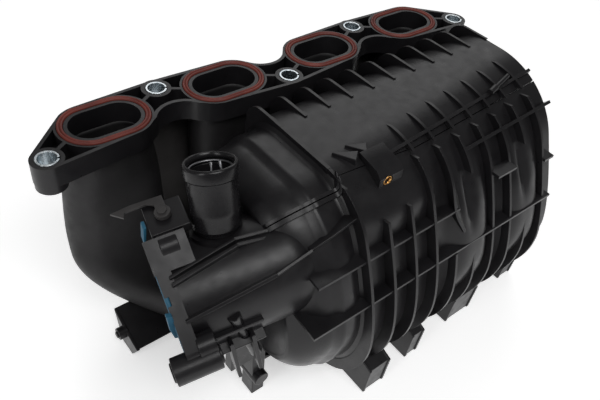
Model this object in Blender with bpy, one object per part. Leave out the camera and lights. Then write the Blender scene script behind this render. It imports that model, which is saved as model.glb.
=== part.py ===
"""Plastic intake manifold for a four-cylinder engine.

The model is drawn in the head flange's frame, in millimetres: X runs along the row of ports,
Y points to the rear, and Z = 0 is the face that seals against the cylinder head. A root empty
then stands the finished manifold on its feet, with the box's bottom centre at the world origin.
"""
import math

import bpy
import bmesh
from mathutils import Matrix, Vector

# ---------------------------------------------------------------- driving dimensions (mm)
MM = 0.001
GAP = 0.3                     # clearance that touching pieces keep

PORT_PITCH = 84.0
PORT_COUNT = 4
PORT_HALF_LENGTH = 22.0       # port opening, along the row
PORT_HALF_WIDTH = 13.0        # port opening, across the row
COLLAR_HALF_LENGTH = 30.0
COLLAR_HALF_WIDTH = 21.0
SEAL_HALF_LENGTH = 26.4       # centre line of the seal groove
SEAL_HALF_WIDTH = 17.4
SEAL_WIDTH = 3.6
SEAL_PROUD = 1.0
GROOVE_DEPTH = 3.0

FLANGE_DEPTH = 14.0
FLANGE_FLOOR = 3.0            # web left under the pockets
RIM = 2.4                     # thin rim and web thickness
BOLT_FRONT_Y = -16.0
BOLT_REAR_Y = 14.0
BOSS_RADIUS = 9.6
BOSS_DEPTH = 19.0
LIMITER_RADIUS = 6.8
LIMITER_WALL = 1.5
LIMITER_SLIT = 0.8

RUNNER_WALL = 3.0
RUNNER_BEND = 70.0            # radius of the runners' centre line round the drum
RUNNER_DROP = 70.0            # straight drop below the head face
RUNNER_SWELL = 10.0           # extra half length of the first runner, part of the way along
RUNNER_TURNS = (0.4, 0.15, 0.15, 0.15)   # shares of their length after which runners shift sideways
WEB_THICK = 3.0               # webs that close the gaps between the runners
WEB_SETBACK = 8.0             # of the webs, behind the runners' centre line
SHELL_MEETS_RUNNER_Y = -108.0

DRUM_NEAR = -87.0
DRUM_RIM = -41.0              # first rib, where the crest begins
RIB_PITCH = 19.3
RIB_COUNT = 11
DRUM_FAR = DRUM_RIM + RIB_PITCH * (RIB_COUNT - 1)
RIB_THICK = 2.2
RIB_DEPTH = 8.0
SHELL_WALL = 3.0
RIM_STEP = 5.0                # from the first rib down to the near end's dome
DOME_LENGTH = 26.0
LOBE_PITCH = 3 * RIB_PITCH
LOBE_FIRST = DRUM_RIM - RIB_PITCH
LOWEST = -168.0               # plane that the feet stand on

CORE_CENTRE = (-75.0, -74.0)
CORE_RADIUS = 45.0

DUCT_AXIS = Vector((0.953, -0.240, 0.182)).normalized()
DUCT_START = Vector((-141.0, -92.3, -64.3))
DUCT_RADIUS = 34.0
DUCT_BORE = 29.5
DUCT_STRAIGHT = 70.0          # from the throttle face to the start of the rounded end
DUCT_END = 26.0               # length of the rounded end
THROTTLE_PLATE = 8.0
THROTTLE_HALF = 34.0
THROTTLE_TURN = 37.0          # degrees that the throttle face is turned about the duct
THROTTLE_BOLT = 28.0          # half spacing of the throttle body's screws
THROTTLE_SEAL_RADIUS = 32.2
THROTTLE_SEAL_PROUD = 0.5
INSERT_RADIUS = 3.6
INSERT_BORE = 2.2

STUB_AXIS = Vector((0.07, 0.316, 0.946)).normalized()
STUB_BASE = Vector((-105.0, -89.0, -26.0))
STUB_LENGTH = 41.0
STUB_HEAD_RADIUS = 16.0
STUB_BORE = 8.5
SOCKET_RADIUS = 12.6
SOCKET_FLOOR = 14.0
SOCKET_SEAL = 2.4             # radius of the socket's seal section
CLIP_WIRE = 0.8


# ---------------------------------------------------------------- scene helpers
def clear_scene():
    for item in list(bpy.data.objects):
        bpy.data.objects.remove(item, do_unlink=True)


def plastic(name, colour, roughness, metallic=0.0):
    material = bpy.data.materials.new(name)
    material.use_nodes = True
    shader = material.node_tree.nodes["Principled BSDF"]
    shader.inputs["Base Color"].default_value = (*colour, 1.0)
    shader.inputs["Roughness"].default_value = roughness
    shader.inputs["Metallic"].default_value = metallic
    return material


NYLON = (0.020, 0.020, 0.022)
FINISHES = {
    "nylon": (NYLON, 0.42, 0.0),
    "seal_rubber": ((0.16, 0.035, 0.028), 0.55, 0.0),
    "blue_rubber": ((0.02, 0.13, 0.26), 0.5, 0.0),
    "zinc_steel": ((0.62, 0.66, 0.68), 0.3, 1.0),
    "brass": ((0.75, 0.45, 0.16), 0.3, 1.0),
    "spring_steel": ((0.5, 0.5, 0.52), 0.35, 1.0),
}


def make_object(name, verts, faces, finish, root):
    """A mesh object from millimetre points, with outward faces and smooth round sides."""
    mesh = bpy.data.meshes.new(name)
    mesh.from_pydata([tuple(c * MM for c in v) for v in verts], [], faces)
    work = bmesh.new()
    work.from_mesh(mesh)
    bmesh.ops.remove_doubles(work, verts=work.verts, dist=0.000001)
    bmesh.ops.recalc_face_normals(work, faces=work.faces)
    work.to_mesh(mesh)
    work.free()
    mesh.shade_smooth()
    mesh.set_sharp_from_angle(angle=math.radians(35))
    item = bpy.data.objects.new(name, mesh)
    bpy.context.collection.objects.link(item)
    item.parent = root
    mesh.materials.append(plastic(name, *FINISHES[finish]))
    return item


def as_tool(item):
    """Marks an object as a construction solid, which isn't part of the manifold."""
    item.hide_render = True
    item.display_type = "WIRE"
    return item


def boolean(target, tool, operation):
    as_tool(tool)
    step = target.modifiers.new(tool.name, "BOOLEAN")
    step.operation = operation
    step.solver = "EXACT"
    step.object = tool
    return target


# ---------------------------------------------------------------- plane outlines
def arc(cx, cy, radius, start, end, segments):
    """Points on an arc, from start to end in degrees, both ends included."""
    points = []
    for i in range(segments + 1):
        angle = math.radians(start + (end - start) * i / segments)
        points.append((cx + radius * math.cos(angle), cy + radius * math.sin(angle)))
    return points


def stadium(cx, cy, half_length, half_width, segments=6):
    """A slot outline along X with round ends."""
    straight = half_length - half_width
    right = arc(cx + straight, cy, half_width, -90, 90, segments)
    left = arc(cx - straight, cy, half_width, 90, 270, segments)
    return right + left


def prism(outline, axis, low, high):
    """Verts and faces of an outline extruded along an axis; its points are the other two axes."""
    count = len(outline)
    verts = []
    for level in (low, high):
        for a, b in outline:
            verts.append({"X": (level, a, b), "Y": (a, level, b), "Z": (a, b, level)}[axis])
    faces = [list(range(count)), list(range(count, 2 * count))]
    for i in range(count):
        j = (i + 1) % count
        faces.append([i, j, count + j, count + i])
    return verts, faces


def merged(parts):
    """Several separate solids as one list of verts and faces."""
    verts, faces = [], []
    for part_verts, part_faces in parts:
        base = len(verts)
        verts += part_verts
        faces += [[base + i for i in face] for face in part_faces]
    return verts, faces


def loft(rings, close_ends=True):
    """A skin through equal closed rings of 3-D points, with flat ends."""
    count = len(rings[0])
    verts = [p for ring in rings for p in ring]
    faces = []
    for r in range(len(rings) - 1):
        for i in range(count):
            j = (i + 1) % count
            a, b = r * count, (r + 1) * count
            faces.append([a + i, a + j, b + j])
            faces.append([a + i, b + j, b + i])
    if close_ends:
        last = (len(rings) - 1) * count
        faces.append(list(range(count)))
        faces.append(list(range(last, last + count)))
    return verts, faces


def hollow_loft(outer, inner):
    """A tube wall between two sets of rings, open at both ends."""
    count = len(outer[0])
    steps = len(outer)
    outer_verts, outer_faces = loft(outer, close_ends=False)
    inner_verts, inner_faces = loft(inner, close_ends=False)
    base = len(outer_verts)
    faces = outer_faces + [[base + i for i in face] for face in inner_faces]
    for row in (0, (steps - 1) * count):
        for i in range(count):
            j = (i + 1) % count
            faces.append([row + i, row + j, base + row + j, base + row + i])
    return outer_verts + inner_verts, faces


def frame_at(origin, axis, up=Vector((0, 0, 1))):
    """A matrix whose Z runs along axis and whose Y leans towards up."""
    z = axis.normalized()
    x = up.cross(z).normalized()
    y = z.cross(x)
    return Matrix.Translation(origin) @ Matrix((x, y, z)).transposed().to_4x4()


def placed(part, matrix):
    verts, faces = part
    return [tuple(matrix @ Vector(v)) for v in verts], faces


def turned(profile, segments, matrix):
    """A ring-shaped solid from a closed (radius, height) profile turned about local Z."""
    rings = []
    for i in range(segments):
        angle = 2 * math.pi * i / segments
        ring = [(r * math.cos(angle), r * math.sin(angle), h) for r, h in profile]
        rings.append([tuple(matrix @ Vector(p)) for p in ring])
    verts, faces = loft(rings + [rings[0]], close_ends=False)
    return verts, faces


def rod(radius, low, high, segments, matrix):
    part = prism(arc(0, 0, radius, 0, 360 - 360 / segments, segments - 1), "Z", low, high)
    return placed(part, matrix)


def ring_profile(inner, outer, low, high):
    return [(outer, low), (outer, high), (inner, high), (inner, low)]


# ---------------------------------------------------------------- positions
def port_x(index):
    return (index - (PORT_COUNT - 1) / 2) * PORT_PITCH


def lobe_x(index):
    return LOBE_FIRST + index * LOBE_PITCH


def rib_x(index):
    return DRUM_RIM + index * RIB_PITCH


def bolt_points():
    """Five screws on a zigzag: front, rear, front, rear, front."""
    points = []
    for i in range(PORT_COUNT + 1):
        y = BOLT_FRONT_Y if i % 2 == 0 else BOLT_REAR_Y
        points.append(((i - PORT_COUNT / 2) * PORT_PITCH, y))
    return points


# ---------------------------------------------------------------- head flange
def flange_half_outline():
    """The left half of the flange's edge, from the rear middle round to the front middle."""
    end_x, side_x = -2 * PORT_PITCH, -PORT_PITCH
    bend = COLLAR_HALF_LENGTH - COLLAR_HALF_WIDTH
    near, far = port_x(0), port_x(1)
    points = arc(0, 21, 18, 270, 215, 4)
    points += arc(far + bend, 0, COLLAR_HALF_WIDTH, 45, 90, 3)
    points += arc(side_x, BOLT_REAR_Y, BOSS_RADIUS, 70, 110, 4)
    points += arc(near - bend, 0, COLLAR_HALF_WIDTH, 90, 125, 3)
    points += arc(end_x, BOLT_FRONT_Y, BOSS_RADIUS, 135, 280, 9)
    points += arc(near + bend, 0, COLLAR_HALF_WIDTH, 270, 315, 3)
    points += arc(side_x, -23, 18, 145, 35, 6)
    points += arc(far - bend, 0, COLLAR_HALF_WIDTH, 225, 270, 3)
    points += arc(0, BOLT_FRONT_Y, BOSS_RADIUS, 262, 270, 1)
    return points


def flange_outline():
    half = flange_half_outline()
    mirrored = [(-x, y) for x, y in reversed(half[1:-1])]
    return half + mirrored


def closed_offset(outline, distance):
    """A closed outline moved inwards by a distance."""
    count = len(outline)
    moved = []
    for i, (x, y) in enumerate(outline):
        ax, ay = outline[i - 1]
        bx, by = outline[(i + 1) % count]
        dx, dy = bx - ax, by - ay
        length = math.hypot(dx, dy)
        moved.append((x - distance * dy / length, y + distance * dx / length))
    return moved


def web_strips():
    """Thin upright webs that tie each screw boss to the collars beside it."""
    strips = []
    half = RIM / 2
    for i, (x, y) in enumerate(bolt_points()):
        lean = -1 if y > 0 else 1
        for side in (-1, 1):
            if abs(x + side * PORT_PITCH / 2) > 2 * PORT_PITCH:
                continue
            dx, dy = side * 0.86, lean * 0.5
            end = (x + 26 * dx, y + 26 * dy)
            strip = [(x - half * dy, y + half * dx), (x + half * dy, y - half * dx),
                     (end[0] + half * dy, end[1] - half * dx), (end[0] - half * dy, end[1] + half * dx)]
            strips.append(prism(strip, "Z", -FLANGE_DEPTH - 2, 3))
    return strips


def build_head_flange(root):
    verts, faces = prism(flange_outline(), "Z", -FLANGE_DEPTH, 0)
    flange = make_object("head_flange", verts, faces, "nylon", root)

    inset = closed_offset(flange_outline(), RIM)
    pockets = make_object("pocket_space", *prism(inset, "Z", -FLANGE_DEPTH + FLANGE_FLOOR, 2), "nylon", root)
    collars = [prism(stadium(port_x(i), 0, COLLAR_HALF_LENGTH, COLLAR_HALF_WIDTH, 7), "Z",
                     -FLANGE_DEPTH - 2, 3) for i in range(PORT_COUNT)]
    bosses = [rod(BOSS_RADIUS, -FLANGE_DEPTH - 2, 3, 14, Matrix.Translation((x, y, 0)))
              for x, y in bolt_points()]
    boolean(pockets, make_object("collar_keep", *merged(collars), "nylon", root), "DIFFERENCE")
    boolean(pockets, make_object("boss_keep", *merged(bosses), "nylon", root), "DIFFERENCE")
    for i, strip in enumerate(web_strips()):
        boolean(pockets, make_object(f"web_keep_{i}", *strip, "nylon", root), "DIFFERENCE")
    boolean(flange, pockets, "DIFFERENCE")

    feet = [rod(BOSS_RADIUS - 0.5, -BOSS_DEPTH, -1, 14, Matrix.Translation((x, y, 0))) for x, y in bolt_points()]
    boolean(flange, make_object("boss_feet", *merged(feet), "nylon", root), "UNION")

    bores = [prism(stadium(port_x(i), 0, PORT_HALF_LENGTH, PORT_HALF_WIDTH), "Z", -FLANGE_DEPTH - 6, 2)
             for i in range(PORT_COUNT)]
    boolean(flange, make_object("port_bores", *merged(bores), "nylon", root), "DIFFERENCE")
    holes = [rod(LIMITER_RADIUS + GAP, -BOSS_DEPTH - 2, 2, 16, Matrix.Translation((x, y, 0)))
             for x, y in bolt_points()]
    boolean(flange, make_object("screw_holes", *merged(holes), "nylon", root), "DIFFERENCE")
    reach = SEAL_WIDTH / 2 + GAP
    grooves = []
    for i in range(PORT_COUNT):
        outer = stadium(port_x(i), 0, SEAL_HALF_LENGTH + reach, SEAL_HALF_WIDTH + reach)
        inner = stadium(port_x(i), 0, SEAL_HALF_LENGTH - reach, SEAL_HALF_WIDTH - reach)
        rings_out = [[(x, y, z) for x, y in outer] for z in (-GROOVE_DEPTH, 2)]
        rings_in = [[(x, y, z) for x, y in inner] for z in (-GROOVE_DEPTH, 2)]
        grooves.append(hollow_loft(rings_out, rings_in))
    boolean(flange, make_object("seal_grooves", *merged(grooves), "nylon", root), "DIFFERENCE")


def build_port_seals(root):
    half = SEAL_WIDTH / 2
    low, top = -GROOVE_DEPTH + GAP, SEAL_PROUD
    section = [(-half, low), (half, low), (half, top - 1.0), (half - 1.0, top), (-half + 1.0, top), (-half, top - 1.0)]
    for i in range(PORT_COUNT):
        rings = []
        for side, height in section:
            path = stadium(port_x(i), 0, SEAL_HALF_LENGTH + side, SEAL_HALF_WIDTH + side)
            rings.append([(x, y, height) for x, y in path])
        verts, faces = loft(rings + [rings[0]], close_ends=False)
        make_object(f"port_seal_{i + 1}", verts, faces, "seal_rubber", root)


def build_limiters(root):
    """Rolled steel sleeves, each with the open slit that a rolled strip leaves."""
    slit = math.degrees(LIMITER_SLIT / LIMITER_RADIUS)
    for i, (x, y) in enumerate(bolt_points()):
        outer = arc(x, y, LIMITER_RADIUS, slit - 25, 335 - slit, 18)
        inner = arc(x, y, LIMITER_RADIUS - LIMITER_WALL, 335 - slit, slit - 25, 18)
        verts, faces = prism(outer + inner, "Z", -BOSS_DEPTH, 0.4)
        make_object(f"limiter_{i + 1}", verts, faces, "zinc_steel", root)


# ---------------------------------------------------------------- runners
def runner_path():
    """Centre line points (y, z) with the heading there, from the flange to the drum."""
    points = [((0, z), (0, -1)) for z in (-FLANGE_DEPTH - GAP, -32.0, -50.0)]
    steps = 9
    for i in range(steps + 1):
        angle = math.radians(-90 * i / steps)
        y = -RUNNER_BEND + RUNNER_BEND * math.cos(angle)
        z = -RUNNER_DROP + RUNNER_BEND * math.sin(angle)
        points.append(((y, z), (math.sin(angle), -math.cos(angle))))
    points.append(((SHELL_MEETS_RUNNER_Y + GAP, -RUNNER_DROP - RUNNER_BEND), (-1, 0)))
    return points


def runner_span(index, t):
    """A runner's middle (x) and half length at a share t of the way along it."""
    late = max(0.0, (t - RUNNER_TURNS[index]) / (1 - RUNNER_TURNS[index]))
    slide = late * late * (3 - 2 * late)
    x = port_x(index) + (lobe_x(index) - port_x(index)) * slide
    swell = RUNNER_SWELL * math.sqrt(max(0.0, math.sin(math.pi * t))) * (1 - slide) if index == 0 else 0.0
    return x, PORT_HALF_LENGTH + swell


def runner_rings(index, grow):
    """Slot-shaped rings along a runner, for its wall or its passage."""
    path = runner_path()
    lengths = [0.0]
    for (a, _), (b, _) in zip(path, path[1:]):
        lengths.append(lengths[-1] + math.hypot(b[0] - a[0], b[1] - a[1]))
    rings = []
    for (centre, heading), length in zip(path, lengths):
        x, half_length = runner_span(index, length / lengths[-1])
        side = (-heading[1], heading[0])
        ring = []
        for u, w in stadium(x, 0, half_length + grow, PORT_HALF_WIDTH + grow, 5):
            ring.append((u, centre[0] + side[0] * w, centre[1] + side[1] * w))
        rings.append(ring)
    return rings


def runner_web(index):
    """A web from a runner's far side almost to the next runner."""
    own = runner_rings(index, RUNNER_WALL)
    following = runner_rings(index + 1, RUNNER_WALL)
    path = runner_path()
    rings = []
    for ring, neighbour, (centre, heading) in zip(own[:-1], following, path):
        low = max(p[0] for p in ring)
        high = min(p[0] for p in neighbour) + 1.6
        side = (-heading[1], heading[0])
        strip = []
        for x, w in ((low - 3.7, 0), (high, 0), (high, 1), (low - 6.3, 1)):
            depth = WEB_SETBACK + WEB_THICK * w
            strip.append(Vector((x, centre[0] + side[0] * depth, centre[1] + side[1] * depth)))
        rings.append(strip)
    between = [[(p + q) / 2 for p, q in zip(ring, after)] for ring, after in zip(rings[1:], rings[2:])]
    return loft(between)


def runner_lug(x, half):
    """A lug under a runner's bend, which the manifold stands on at the rear."""
    outline = [(-47.0, LOWEST), (-33.0, LOWEST), (-24.0, -141.0), (-40.0, -149.0), (-56.0, -153.5)]
    return prism(outline, "X", x - half, x + half)


def build_runners(root):
    for i in range(PORT_COUNT):
        verts, faces = hollow_loft(runner_rings(i, RUNNER_WALL), runner_rings(i, 0.0))
        runner = make_object(f"runner_{i + 1}", verts, faces, "nylon", root)
        extras = []
        if i < PORT_COUNT - 1:
            extras.append(runner_web(i))
        if i == 0:
            extras.append(runner_lug(-127.0, 19.0))
            stud = frame_at(Vector((-144.0, -38.0, -152.0)), Vector((-1, 0, 0)))
            union(runner, "lug_stud", [rod(4.5, 0.0, 7.0, 12, stud)], root)
        if i == PORT_COUNT - 1:
            extras.append(runner_lug(118.0, 10.0))
        if extras:
            union(runner, f"runner_extras_{i + 1}", extras, root)


# ---------------------------------------------------------------- drum sections
UPPER_STEPS = 3               # steps on the front corner's arc, above the weld seam
LOWER_STEPS = 4               # and below it
BULGE_STEPS = 5               # from there down to the front's widest line
FRONT_Y = -168.0              # how far forward the drum's front bulges
FRONT_Z = -103.0              # height of its widest line


def along_drum(x):
    """0 at the first rib and 1 at the far rim."""
    return max(0.0, (x - DRUM_RIM) / (DRUM_FAR - DRUM_RIM))


def crest_z(x):
    return 2.0 + 7.0 * along_drum(x)


def near_inset(x):
    """The dome at the near end draws in like a quarter ellipse, a step below the first rib."""
    reach, depth = DOME_LENGTH + 2.5, 22.0
    t = max(0.0, (DRUM_NEAR + DOME_LENGTH - x) / reach)
    step = RIM_STEP if x < DRUM_RIM - 2.0 else 0.0
    return step + depth * (1 - math.sqrt(1 - t * t))


def lobe_bump(x, z):
    """How far the runner lobes stand out of the drum's front wall."""
    best = 0.0
    for i in range(PORT_COUNT):
        across = (x - lobe_x(i)) / 18.0
        middle, half = (-20.0, 42.0) if i == 1 else (-58.0, 46.0)
        down = (z - middle) / half
        best = max(best, math.exp(-across ** 4) * math.exp(-down ** 4))
    return (RIB_DEPTH - 0.6) * best


def front_corner(x, recess, start, end, steps):
    """A stretch of the arc that rounds the crest into the drum's front."""
    radius = 46.0 + 20.0 * along_drum(x)
    centre_y = -149.0 + recess + radius
    centre_z = crest_z(x) - 0.5 * recess / RIB_DEPTH - radius
    return arc(centre_y, centre_z, radius, start, end, steps)


def seam_angle(x):
    """Degrees round the front corner at which the two shells are welded."""
    near_dip = 10.0 * min(1.0, max(0.0, (DRUM_RIM - x) / 30.0))
    return 110.0 + near_dip + 10.0 * min(1.0, 3 * along_drum(x))


def upper_front(x, recess, shy):
    """The front corner above the weld seam, stopping a little shy of it in degrees."""
    return front_corner(x, recess, 90, seam_angle(x) - shy, UPPER_STEPS)


def lower_oval(recess, lift, angle):
    """A point on the oval from the front's widest line, at 0 degrees, down to the bottom, at 90."""
    centre_y, low_z = -118.0, LOWEST + 6.0 + 0.75 * recess + lift
    a = math.radians(angle)
    return (centre_y - (centre_y - FRONT_Y - recess) * math.cos(a), FRONT_Z - (FRONT_Z - low_z) * math.sin(a))


def lower_front(x, recess, shy):
    """From the weld seam over the bulging front and the lower corner to the runners' ends."""
    lift = 16.0 * max(0.0, (-30.0 - x) / (-30.0 - DRUM_NEAR)) ** 2
    lean = 25.0
    top = front_corner(x, recess, seam_angle(x) + shy, 180.0 - lean, LOWER_STEPS)
    low = [lower_oval(recess, lift, angle) for angle in (0, 18, 36, 54, 72, 90)]
    start, end = top[-1], low[0]
    bend = (end[0], start[1] - (start[0] - end[0]) / math.tan(math.radians(lean)))
    wall = []
    for i in range(1, BULGE_STEPS):
        t = i / BULGE_STEPS
        wall.append(tuple((1 - t) ** 2 * start[k] + 2 * t * (1 - t) * bend[k] + t * t * end[k] for k in (0, 1)))
    return top + wall + low + [(SHELL_MEETS_RUNNER_Y - 2.0, low[-1][1])]


def rear_outline(x):
    """The upper shell's wall from the inner bottom up the rear and over onto the crest."""
    crest, hook = crest_z(x) - 0.5, 37.0
    rear = arc(-RUNNER_DROP, -RUNNER_DROP, RUNNER_BEND - 20.0, -95, 0, 7)
    return rear + arc(-25.0 - hook, crest - hook, hook, 0, 90, 6)


def with_lobes(x, points):
    """The front wall's points pushed out where a runner lobe passes."""
    return [(y - lobe_bump(x, z) * min(1.0, max(0.0, (-100 - y) / 30)), z) for y, z in points]


def toward(points, distance, centre=CORE_CENTRE):
    """Points drawn in towards the drum's middle by a distance."""
    moved = []
    for y, z in points:
        dy, dz = centre[0] - y, centre[1] - z
        length = math.hypot(dy, dz)
        moved.append((y + distance * dy / length, z + distance * dz / length))
    return moved


SEAM_SHY = 0.25               # degrees that each shell stops short of the weld seam
UPPER_HOOP_SHY = 4.0          # and each hoop rib of the upper shell
FRONT_HOOP_SHY = 1.5


def upper_path(x):
    return rear_outline(x) + upper_front(x, RIB_DEPTH, SEAM_SHY)


def front_path(x):
    return with_lobes(x, lower_front(x, RIB_DEPTH, SEAM_SHY))


def path_below_seam(x):
    """The front path with its first point drawn down a little, so that an end wall stays inside the edge."""
    path = front_path(x)
    (y, z), (next_y, next_z) = path[:2]
    return [(y + 0.12 * (next_y - y), z + 0.12 * (next_z - z))] + path[1:]


def drum_stations():
    near = [DRUM_NEAR + DOME_LENGTH * (1 - math.cos(math.radians(a))) for a in (0, 28, 45, 66, 90)]
    return near + [DRUM_RIM - 10.0, DRUM_RIM - 3.0] + [rib_x(i) for i in range(RIB_COUNT)]


def clear_of_runners(points):
    """Keeps a low inner edge in front of the runners' ends."""
    return [(min(y, SHELL_MEETS_RUNNER_Y - 2.0) if z < -RUNNER_DROP - 45.0 and y > -125.0 and y < -90.0 else y, z)
            for y, z in points]


def shell_wall(path_of):
    """A wall of even thickness behind an outline that changes along the drum."""
    rings = []
    for x in drum_stations():
        outer = clear_of_runners(toward(path_of(x), near_inset(x)))
        inner = clear_of_runners(toward(outer, SHELL_WALL))
        rings.append([(x, y, z) for y, z in outer + inner[::-1]])
    return loft(rings)


# ---------------------------------------------------------------- ribs
def plate_at(outline, x, thick=RIB_THICK):
    return prism(outline, "X", x - thick / 2, x + thick / 2)


def hoop(front_of, x, shy):
    """A hoop rib over a stretch of the front outline, rooted just inside the wall."""
    outer = front_of(x, 0.0, shy)
    inner = toward(front_of(x, RIB_DEPTH, shy), 1.3)
    return plate_at(outer + inner[::-1], x)


def hook_rib(x):
    """A hooked rib in the trough between the crest and the head flange."""
    crest = crest_z(x)
    outer = [(-25.6, -33.0)] + arc(-40.5, crest - 14.0, 14.0, 0, 90, 4) + [(-61.0, crest + 0.4)]
    inner = toward(arc(-62.0, crest - 37.5, 37.0, 7, 86, 5), 1.9)
    return plate_at(outer + inner[::-1], x)


def upright_strip(tip, height, angle, thick=RIB_THICK):
    """A rib's cross-section (y, z): its tip's middle, its height, and the angle it stands at."""
    out = (math.cos(math.radians(angle)), math.sin(math.radians(angle)))
    side = (-out[1] * thick / 2, out[0] * thick / 2)
    foot = (tip[0] - out[0] * height, tip[1] - out[1] * height)
    return [(tip[0] + side[0], tip[1] + side[1]), (tip[0] - side[0], tip[1] - side[1]),
            (foot[0] - side[0], foot[1] - side[1]), (foot[0] + side[0], foot[1] + side[1])]


def long_rib(y, z, low, high):
    """A rib along the row on the drum's front."""
    return prism(upright_strip((y, z), RIB_DEPTH + 1.0, 180), "X", low, high)


def corner_rib(angle, low, high, height):
    """A rib along the row on the front corner, which follows the crest as it rises."""
    rings = []
    for x in (low, (low + high) / 2, high):
        tip = front_corner(x, 0.0, angle, angle + 1, 1)[0]
        rings.append([(x, y, z) for y, z in upright_strip(tip, height, angle)])
    return loft(rings)


def rim_bridge(x):
    """The first rib's stretch over the crest, between its hook and its hoop."""
    top, low = crest_z(x) + 0.4, crest_z(x) - 9.0
    return plate_at([(-50.0, top), (-106.0, top - 0.3), (-106.0, low), (-50.0, low)], x, RIB_THICK + 0.5)


def block(low, high):
    outline = [(low[0], low[1]), (high[0], low[1]), (high[0], high[1]), (low[0], high[1])]
    return prism(outline, "Z", low[2], high[2])


# ---------------------------------------------------------------- upper and front shells
def union(target, name, parts, root):
    boolean(target, make_object(name, *merged(parts), "nylon", root), "UNION")


def cut(target, name, parts, root):
    boolean(target, make_object(name, *merged(parts), "nylon", root), "DIFFERENCE")


def duct_matrix():
    """The duct's own frame: Z into the manifold, X to the rear and Y up."""
    return frame_at(DUCT_START, DUCT_AXIS)


def throttle_matrix():
    return duct_matrix() @ Matrix.Rotation(math.radians(THROTTLE_TURN), 4, "Z")


def duct_body(radius, start, straight, end, steps=5):
    """A round solid along the duct, with a rounded far end."""
    rings = []
    profile = [(start, radius)]
    for i in range(steps + 1):
        angle = math.radians(78.0 * i / steps)
        profile.append((straight + end * math.sin(angle), radius * math.cos(angle)))
    for height, r in profile:
        ring = [(x, y, height) for x, y in arc(0, 0, r, 0, 345, 23)]
        rings.append([tuple(duct_matrix() @ Vector(p)) for p in ring])
    return loft(rings)


def duct_space(extra):
    """The room that the duct takes out of the shells."""
    return duct_body(DUCT_RADIUS + extra, 20.0, DUCT_STRAIGHT, DUCT_END + extra)


def sensor_boss(extra):
    """The block on the seam that holds the pressure sensor's screw insert."""
    outline = [(-105 + extra, -6), (-106 + extra, 4 + extra), (-122 - extra, 1 + extra),
               (-126 - extra, -3), (-126 - extra, -15), (-112, -15)]
    return prism(outline, "X", -18.0 - extra, 1.0 + extra)


def seam_flange(rise, thick):
    """One of the two flanges welded along the seam over the near end's dome."""
    rings = []
    for x in (x for x in drum_stations() if x < DRUM_RIM):
        root_y, root_z = toward(upper_front(x, RIB_DEPTH, 0.0), near_inset(x))[-1]
        away = Vector((root_y - CORE_CENTRE[0], root_z - CORE_CENTRE[1])).normalized()
        side = Vector((-away.y, away.x))
        ring = []
        for out, along in ((-1.4, rise), (4.0, rise), (4.0, rise + thick), (-1.4, rise + thick)):
            ring.append((x, root_y + away.x * out - side.x * along, root_z + away.y * out - side.y * along))
        rings.append(ring)
    return loft(rings)


def cheek_rib():
    """The rib that runs on from the throttle duct to the first hoop."""
    rings = []
    for x, y, z in ((-72.0, -133.0, -26.0), (DRUM_RIM, -134.5, -16.0)):
        rings.append([(x, y, z), (x, y, z + 2.4), (x, y + 11.0, z - 0.6), (x, y + 11.0, z - 3.0)])
    return loft(rings)


def boss_gussets():
    """Two three-cornered gussets beside the sensor boss."""
    return [prism([(-32.0, -97.0), (-24.0, -110.0), (-17.0, -104.0)], "Z", -1.0, 3.6),
            prism([(-21.0, -96.0), (-13.0, -107.5), (-8.0, -101.0)], "Z", -1.0, 3.9)]


def locating_peg():
    start, end = Vector((104.0, -106.0, 5.5)), Vector((127.0, -101.0, 8.0))
    return rod(1.6, 0.0, (end - start).length, 8, frame_at(start, end - start))


def end_walls(path_of, closing):
    """The two end walls of a shell, whose edges stay within the shell's own wall."""
    walls = []
    for low, high in ((DRUM_NEAR + 0.2, DRUM_NEAR + SHELL_WALL), (DRUM_FAR - SHELL_WALL, DRUM_FAR - 0.2)):
        rings = []
        for x in (low, high):
            outline = clear_of_runners(toward(path_of(x), near_inset(x) + 1.3)) + closing
            rings.append([(x, y, z) for y, z in outline])
        walls.append(loft(rings))
    return walls


def build_upper_shell(root):
    shell = make_object("upper_shell", *shell_wall(upper_path), "nylon", root)
    union(shell, "upper_ends", end_walls(upper_path, []), root)
    hoops = [hoop(upper_front, rib_x(i), UPPER_HOOP_SHY) for i in range(RIB_COUNT - 1) if i not in (1, 2)]
    union(shell, "upper_hoops", hoops, root)
    union(shell, "upper_hooks", [hook_rib(rib_x(i)) for i in range(RIB_COUNT)], root)
    union(shell, "rim_bridge", [rim_bridge(rib_x(0))], root)
    union(shell, "upper_seam_flange", [seam_flange(0.3, 2.0)], root)
    union(shell, "boss_gussets", boss_gussets(), root)
    union(shell, "locating_peg", [locating_peg()], root)
    union(shell, "upper_long_rib", [corner_rib(107, rib_x(2) + 4, DRUM_FAR - 0.4, 4.5)], root)
    union(shell, "sensor_boss", [sensor_boss(0.0)], root)
    cut(shell, "upper_duct_room", [duct_space(GAP)], root)
    cut(shell, "sensor_hole", [sensor_insert(INSERT_RADIUS + GAP, 0.0, 0.5)], root)
    return shell


def runner_wall(root, shell):
    """The wall that the runners' ends meet, with their four passages."""
    plate = block((DRUM_NEAR + 1, SHELL_MEETS_RUNNER_Y - SHELL_WALL, LOWEST + 13.0),
                  (DRUM_FAR - 1, SHELL_MEETS_RUNNER_Y - 0.3, -105.2))
    union(shell, "runner_wall", [plate], root)
    centre_z = -RUNNER_DROP - RUNNER_BEND
    holes = [prism(stadium(lobe_x(i), centre_z, PORT_HALF_LENGTH, PORT_HALF_WIDTH), "Y",
                   SHELL_MEETS_RUNNER_Y - 6, SHELL_MEETS_RUNNER_Y + 2) for i in range(PORT_COUNT)]
    cut(shell, "runner_openings", holes, root)


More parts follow.
